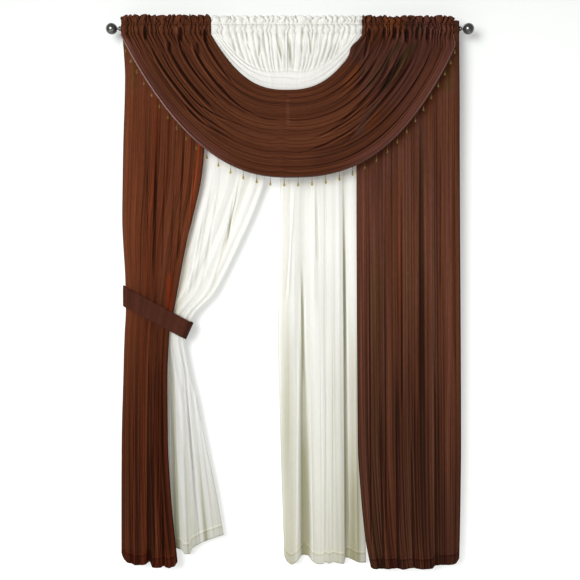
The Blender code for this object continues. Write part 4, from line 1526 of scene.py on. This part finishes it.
def fold_ramp(nodes, voile, colour):
    """A colour on the crests of the folds, with painted shade on the level cloth and more in the valleys."""
    level = tuple(first * second for first, second in zip(colour, voile.level))
    valley = tuple(first * second for first, second in zip(colour, voile.valley))
    return nodes.ramp(nodes.attribute("painted_shade"), (0.15, colour), (0.5, level), (0.95, valley))


def scale_for(size, cell):
    """The mapping scale that gives a cloth of this size cells of this size."""
    return (size[0] / cell[0], size[1] / cell[1], 1)


def voile_colour(nodes, voile, size):
    """Threads of uneven tone, painted shade where folds lie doubled, and the cloth's warmer and cooler
    places.
    """

    def clouds(cell, detail, *stops):
        return nodes.ramp(nodes.noise("UV", scale_for(size, cell), detail), *stops)

    hues = ((0.0, voile.moss), (0.25, voile.cool), (0.5, voile.plain), (1.0, voile.warm))
    colour = clouds(STRAND_CELL, 3, (0.30, voile.dark), (0.70, voile.light))
    for layer in (
        clouds(THREAD_CELL, 3, (0.30, grey(voile.threads)), (0.70, WHITE)),
        clouds(SLUB_CELL, 2, (0.35, grey(0.5 + 0.5 * voile.threads)), (0.65, WHITE)),
        clouds(PATCH_CELL, 2, (0.30, PATCH_SHADE), (0.70, WHITE)),
        fold_ramp(nodes, voile, WHITE),
        nodes.ramp(nodes.attribute("tone"), *hues),
    ):
        colour = nodes.multiplied(colour, layer)
    return colour


def voile_normal(nodes, size):
    """A fine crinkle along the cloth over a plain weave of threads."""
    normal = nodes.bump(nodes.noise("UV", scale_for(size, CRINKLE_CELL), 5), 0.35, 0.002)
    for direction in ("X", "Y"):
        sockets = {"Scale": 1.0, "Vector": nodes.mapped("UV", scale_for(size, WEAVE_CELL))}
        threads = nodes.add("ShaderNodeTexWave", "Fac", sockets, wave_type="BANDS", bands_direction=direction)
        normal = nodes.bump(threads, 0.10, 0.0002, Normal=normal)
    return normal


def voile_material(name, voile, size):
    """Sheer voile: its colour and weave, the light that glows through it and the little that passes."""
    nodes = Nodes(name)
    normal = voile_normal(nodes, size)
    sockets = {
        "Base Color": voile_colour(nodes, voile, size),
        "Normal": normal,
        "Roughness": voile.roughness,
        "Sheen Weight": 0.05,
        "Sheen Roughness": 0.5,
        "Sheen Tint": (*voile.light, 1),
        "Specular IOR Level": 0.08,
    }
    nodes.feed(nodes.shader, sockets)
    glow = {"Color": fold_ramp(nodes, voile, voile.glow), "Normal": normal}
    through_light = nodes.add("ShaderNodeBsdfTranslucent", "BSDF", glow)
    shares = {"Fac": voile.glow_share, 1: nodes.shader.outputs["BSDF"], 2: through_light}
    nodes.thinned(nodes.add("ShaderNodeMixShader", "Shader", shares), voile.clear, voile.clear_share)
    return nodes.material


def metal_material(name):
    """Brushed gunmetal with fine scratches round the axis and a little uneven wear."""
    nodes = Nodes(name)
    brush = nodes.noise("Object", BRUSH_SCALE, 4)
    wear = nodes.noise("Object", WEAR_SCALE, 3)
    sockets = {
        "Base Color": nodes.ramp(wear, (0.3, METAL_DARK), (0.75, METAL_LIGHT)),
        "Metallic": 0.9,
        "Roughness": nodes.ramp(brush, (0.2, grey(0.20)), (0.8, grey(0.34))),
        "Normal": nodes.bump(brush, 0.15, 0.0003),
    }
    nodes.feed(nodes.shader, sockets)
    return nodes.material


def bead_material(name):
    """Clear amber resin with a swirl of colour. A bead takes much of its tone from the cloth behind it."""
    nodes = Nodes(name)
    swirl = nodes.noise("Object", SWIRL_SCALE, 3)
    colour = nodes.ramp(swirl, (0.3, AMBER_DARK), (0.7, AMBER_LIGHT))
    nodes.feed(nodes.shader, {"Base Color": colour, "Roughness": 0.25, "Coat Weight": 0.1})
    nodes.thinned(nodes.shader.outputs["BSDF"], AMBER_CLEAR, AMBER_CLEAR_SHARE)
    return nodes.material


def thread_material(name, dark, light, *painted_shades):
    """Twisted thread, lighter along its strands, with any painted shade along it as (place, colour) stops."""
    nodes = Nodes(name)
    strands = nodes.noise("Object", THREAD_SCALE, 3)
    colour = nodes.ramp(strands, (0.3, dark), (0.7, light))
    if painted_shades:
        along = nodes.add("ShaderNodeSeparateXYZ", "X", {"Vector": nodes.mapped("UV", (1, 1, 1))})
        colour = nodes.multiplied(colour, nodes.ramp(along, *painted_shades))
    sockets = {"Base Color": colour, "Roughness": 0.7, "Specular IOR Level": 0.1}
    nodes.feed(nodes.shader, {**sockets, "Normal": nodes.bump(strands, 0.3, 0.0004)})
    return nodes.material


def plain_material(name, colour, roughness):
    nodes = Nodes(name)
    nodes.feed(nodes.shader, {"Base Color": (*colour, 1), "Roughness": roughness})
    return nodes.material


def wall_material():
    """A white backdrop, lit of itself too. It is clear from behind, so the set can be seen from there."""
    nodes = Nodes("lit_backdrop")
    place = nodes.add("ShaderNodeTexCoord", "UV", {})
    turn = {"Vector": place, "Center": (0.5, 0.5, 0), "Angle": WALL_GLOW_TURN}
    turned = nodes.add("ShaderNodeVectorRotate", "Vector", turn, rotation_type="Z_AXIS")
    across = {
        "Value": nodes.add("ShaderNodeSeparateXYZ", "X", {"Vector": turned}),
        "From Min": 0.5,
        "From Max": 1.0,
        "To Min": WALL_GLOW_NEAR,
        "To Max": WALL_GLOW_FAR,
    }
    sockets = {
        "Base Color": (*WALL_COLOUR, 1),
        "Roughness": 1.0,
        "Specular IOR Level": 0.0,
        "Emission Color": (1, 1, 1, 1),
        "Emission Strength": nodes.add("ShaderNodeMapRange", "Result", across),
    }
    nodes.feed(nodes.shader, sockets)
    nodes.thinned(nodes.shader.outputs["BSDF"], WHITE, nodes.add("ShaderNodeNewGeometry", "Backfacing", {}))
    return nodes.material


def make_camera():
    data = bpy.data.cameras.new("camera")
    data.sensor_width = SENSOR_MM
    data.lens = SENSOR_MM * CAMERA_DISTANCE / (PICTURE_SIDE * PIXEL)
    data.clip_end = 50
    camera = in_scene("camera", data)
    centre_x = (PICTURE_SIDE / 2 - PICTURE_CENTRE_X) * PIXEL
    centre_z = (ROD_AXIS_Y - PICTURE_SIDE / 2) * PIXEL
    camera.location = (centre_x, -CAMERA_DISTANCE, centre_z)
    camera.rotation_euler = (math.pi / 2, 0, 0)
    bpy.context.scene.camera = camera


def make_light():
    """Even light from all round and one large soft lamp at the front left, level with the rod."""
    world = bpy.data.worlds.new("studio")
    world.use_nodes = True
    background = world.node_tree.nodes["Background"]
    background.inputs["Color"].default_value = (*WHITE, 1)
    background.inputs["Strength"].default_value = WORLD_LIGHT
    bpy.context.scene.world = world
    data = bpy.data.lights.new("key", "AREA")
    data.shape = "DISK"
    data.size = KEY_SIZE
    data.energy = KEY_POWER
    key = in_scene("key", data)
    key.location = KEY_PLACE
    key.rotation_euler = (Vector(KEY_AIM) - Vector(KEY_PLACE)).to_track_quat("-Z", "Y").to_euler()
    bpy.context.scene.view_settings.view_transform = "Standard"


def make_stage():
    bpy.ops.mesh.primitive_plane_add(size=2 * STAGE_HALF, location=(0, WALL_DEPTH, STAGE_HALF - FLOOR_DROP))
    wall = bpy.context.object
    wall.name = "wall"
    wall.rotation_euler = (math.pi / 2, 0, 0)
    paint(wall, wall_material())
    bpy.ops.mesh.primitive_plane_add(size=2 * STAGE_HALF, location=(0, 0, -FLOOR_DROP))
    floor = bpy.context.object
    floor.name = "floor"
    paint(floor, plain_material("pale_floor", FLOOR_COLOUR, 0.8))


def brown_shading(panel, painted_shade, tone, drop):
    """Painted shade deeper towards the hem, which is warmer, darker painted side edges and a hue that drifts
    across.
    """
    low = past(drop, BROWN_LOW_ZONE)
    number = np.arange(drop.shape[1])
    from_side = np.minimum(number, number[::-1])
    painted_shade = 0.5 + (painted_shade - 0.5) * mix(UPPER_CONTRAST, LOW_CONTRAST, low) + LOW_SHADE * low
    painted_shade += SIDE_SHADE * (1 - eased((from_side - 1) / 3))
    tone = tone + HUE_DRIFT * soft_noise(panel.seed + 9, number / 14, drop / 0.9)
    return painted_shade, tone + LOW_WARMTH * low * (panel.held_reach > 0)


def ivory_shading(panel, painted_shade, tone, drop):
    """Painted shade deeper towards the hem. The free panel is warmer there, and the tied one cooler below its
    tie.
    """
    low = np.clip((drop - 0.8) / 1.27, 0, 1)
    painted_shade = 0.5 + IVORY_CONTRAST * (painted_shade - 0.5) + IVORY_LOW_SHADE * low
    if not panel.held_reach:
        return painted_shade, tone + IVORY_LOW_WARMTH * low
    below_tie = past(drop, IVORY_COOL_ZONE) * (1 - 0.5 * past(drop, IVORY_COOL_FADE))
    return painted_shade + IVORY_HELD_SHADE * low, tone - IVORY_HELD_COOL * below_tie


def panel_shading(panel, points, brown):
    """A panel's painted shade and tone, with a painted highlight on its hem's seam and a painted shadow below
    it.
    """
    drop = -points[:, :, 2]
    calm = 1 if brown else 1 + IVORY_CALM * past(drop, IVORY_CALM_ZONE)
    fine_reach, broad_reach = BROWN_READ if brown else IVORY_READ
    painted_shade, tone = shading(points, fine_reach * calm, broad_reach * calm, panel.streaks)
    from_hem = (1 - panel_shares()) * NOMINAL_LENGTH
    body = slice(-TURNED_FACES - len(from_hem), -TURNED_FACES)
    stitches = hump(from_hem, HEM_HEIGHT - STITCH_BELOW_SEAM, STITCH_WIDTH)
    seam = stitches - hump(from_hem, HEM_HEIGHT, SEAM_WIDTH)
    painted_shade[body] += SEAM_SHADE * seam
    if brown:
        return brown_shading(panel, painted_shade, tone, drop)
    painted_shade, tone = ivory_shading(panel, painted_shade, tone, drop)
    tone[body] += IVORY_HEM_WARMTH * hump(from_hem, HEM_HEIGHT, 0.005)
    return painted_shade, tone


def shaded(name, points, painted_shade, tone):
    """A cloth with the two values that its material reads."""
    cloth = grid_object(name, points)
    mark(cloth, "painted_shade", painted_shade)
    mark(cloth, "tone", tone)
    return cloth


def make_panels():
    for panel in PANELS:
        brown = panel.name.startswith("panel_brown")
        points = panel_points(panel)
        size = surface_size(points)
        cloth = shaded(panel.name.replace("panel", "cloth"), points, *panel_shading(panel, points, brown))
        look = IVORY_VOILE
        if brown:
            look = BROWN_VOILE if panel.name.endswith("left") else BROWN_RIGHT_VOILE
        material = voile_material(panel.name + "_voile", look, size)
        dress(cloth, panel.name, material)
        turned_up = voile_material(panel.name + "_hem", look._replace(clear_share=HEM_CLEAR), size)
        cloth.data.materials.append(turned_up)
        faces = np.zeros((points.shape[0] - 1, points.shape[1] - 1), int)
        faces[-TURNED_FACES:] = 1
        cloth.data.polygons.foreach_set("material_index", faces.reshape(-1))


def swag_shading(points, across, pushed):
    """The swag's painted shade and tone: sharp at its headings, calm at the right, a paler band at its edge.
    """
    x = points[:, :, 0]
    drop = -points[:, :, 2]
    painted_shade, tone = shading(points, *SWAG_READ, SWAG_STREAKS)
    right_side = past(x, SWAG_RIGHT_ZONE) * past(drop, SWAG_BELOW_HEADING)
    contrast = mix(HEADING_CONTRAST, 1, eased(drop / SWAG_HEADING_DROP))
    contrast = contrast * mix(1, SWAG_RIGHT_CONTRAST, right_side)
    # Painted shade in the recesses and painted light on their ridges, stronger at the headings, calmer at the
    # right
    painted_shade = 0.5 + (painted_shade - 0.5 - SWEEP_SHADE * pushed) * contrast + SWAG_RIGHT_SHADE * right_side
    painted_shade = mix(painted_shade, SWAG_ROLL_PAINTED_SHADE, past(across, SWAG_ROLL))
    aside = past(np.abs(x), SWAG_BAND_FROM) * past(drop, SWAG_BAND_DROP)
    band = past(across, (SWAG_BAND, SWAG_BAND_EDGE)) * aside
    # Lighter painted lines on the ridges along the band
    lines = sum(hump(across, line, 0.005) for line in SWAG_BAND_LINES) * aside
    painted_shade = painted_shade + SWAG_BAND_SHADE * band + SWAG_LINE_SHADE * lines
    return painted_shade, tone + SWAG_BAND_TONE * np.maximum(band, lines)


def make_swag():
    points, across, pushed = swag_points()
    cloth = shaded("cloth_swag", points, *swag_shading(points, across, pushed))
    dress(cloth, "swag_brown", voile_material("swag_voile", SWAG_VOILE, surface_size(points)))


def make_insert():
    points = insert_points()
    # Painted shade from the insert's depth and its streaks, softened
    painted_shade, tone = shading(points, *INSERT_READ, INSERT_STREAKS)
    cloth = shaded("cloth_insert", points, 0.48 + IVORY_CONTRAST * (painted_shade - 0.5), tone)
    material = voile_material("insert_voile", INSERT_VOILE, surface_size(points))
    dress(cloth, "swag_ivory", material)


def make_tieback():
    points = tie_points()
    plain = np.full(points.shape[:2], 0.5)
    band = shaded("cloth_tieback", points, plain, plain)
    solid = band.modifiers.new("thickness", "SOLIDIFY")
    solid.thickness = TIE_THICKNESS
    solid.offset = 0
    dress(band, "tieback", voile_material("tie_voile", TIE_CLOTH, surface_size(points)))


def main():
    metal = metal_material("brushed_gunmetal")
    make_panels()
    make_swag()
    make_insert()
    make_tieback()
    make_braid(thread_material("braid_thread", *BRAID_THREAD, *BRAID_PAINTED_SHADE))
    make_drops("bead_stems", STEM_RINGS, thread_material("stem_thread", *STEM_THREAD))
    make_drops("bead_drops", BEAD_RINGS, bead_material("amber_resin"))
    make_finial("dressed_finial_left", -1, metal)
    make_finial("dressed_finial_right", 1, metal)
    paint(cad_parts["rod"], metal)
    make_camera()
    make_light()
    make_stage()


main()
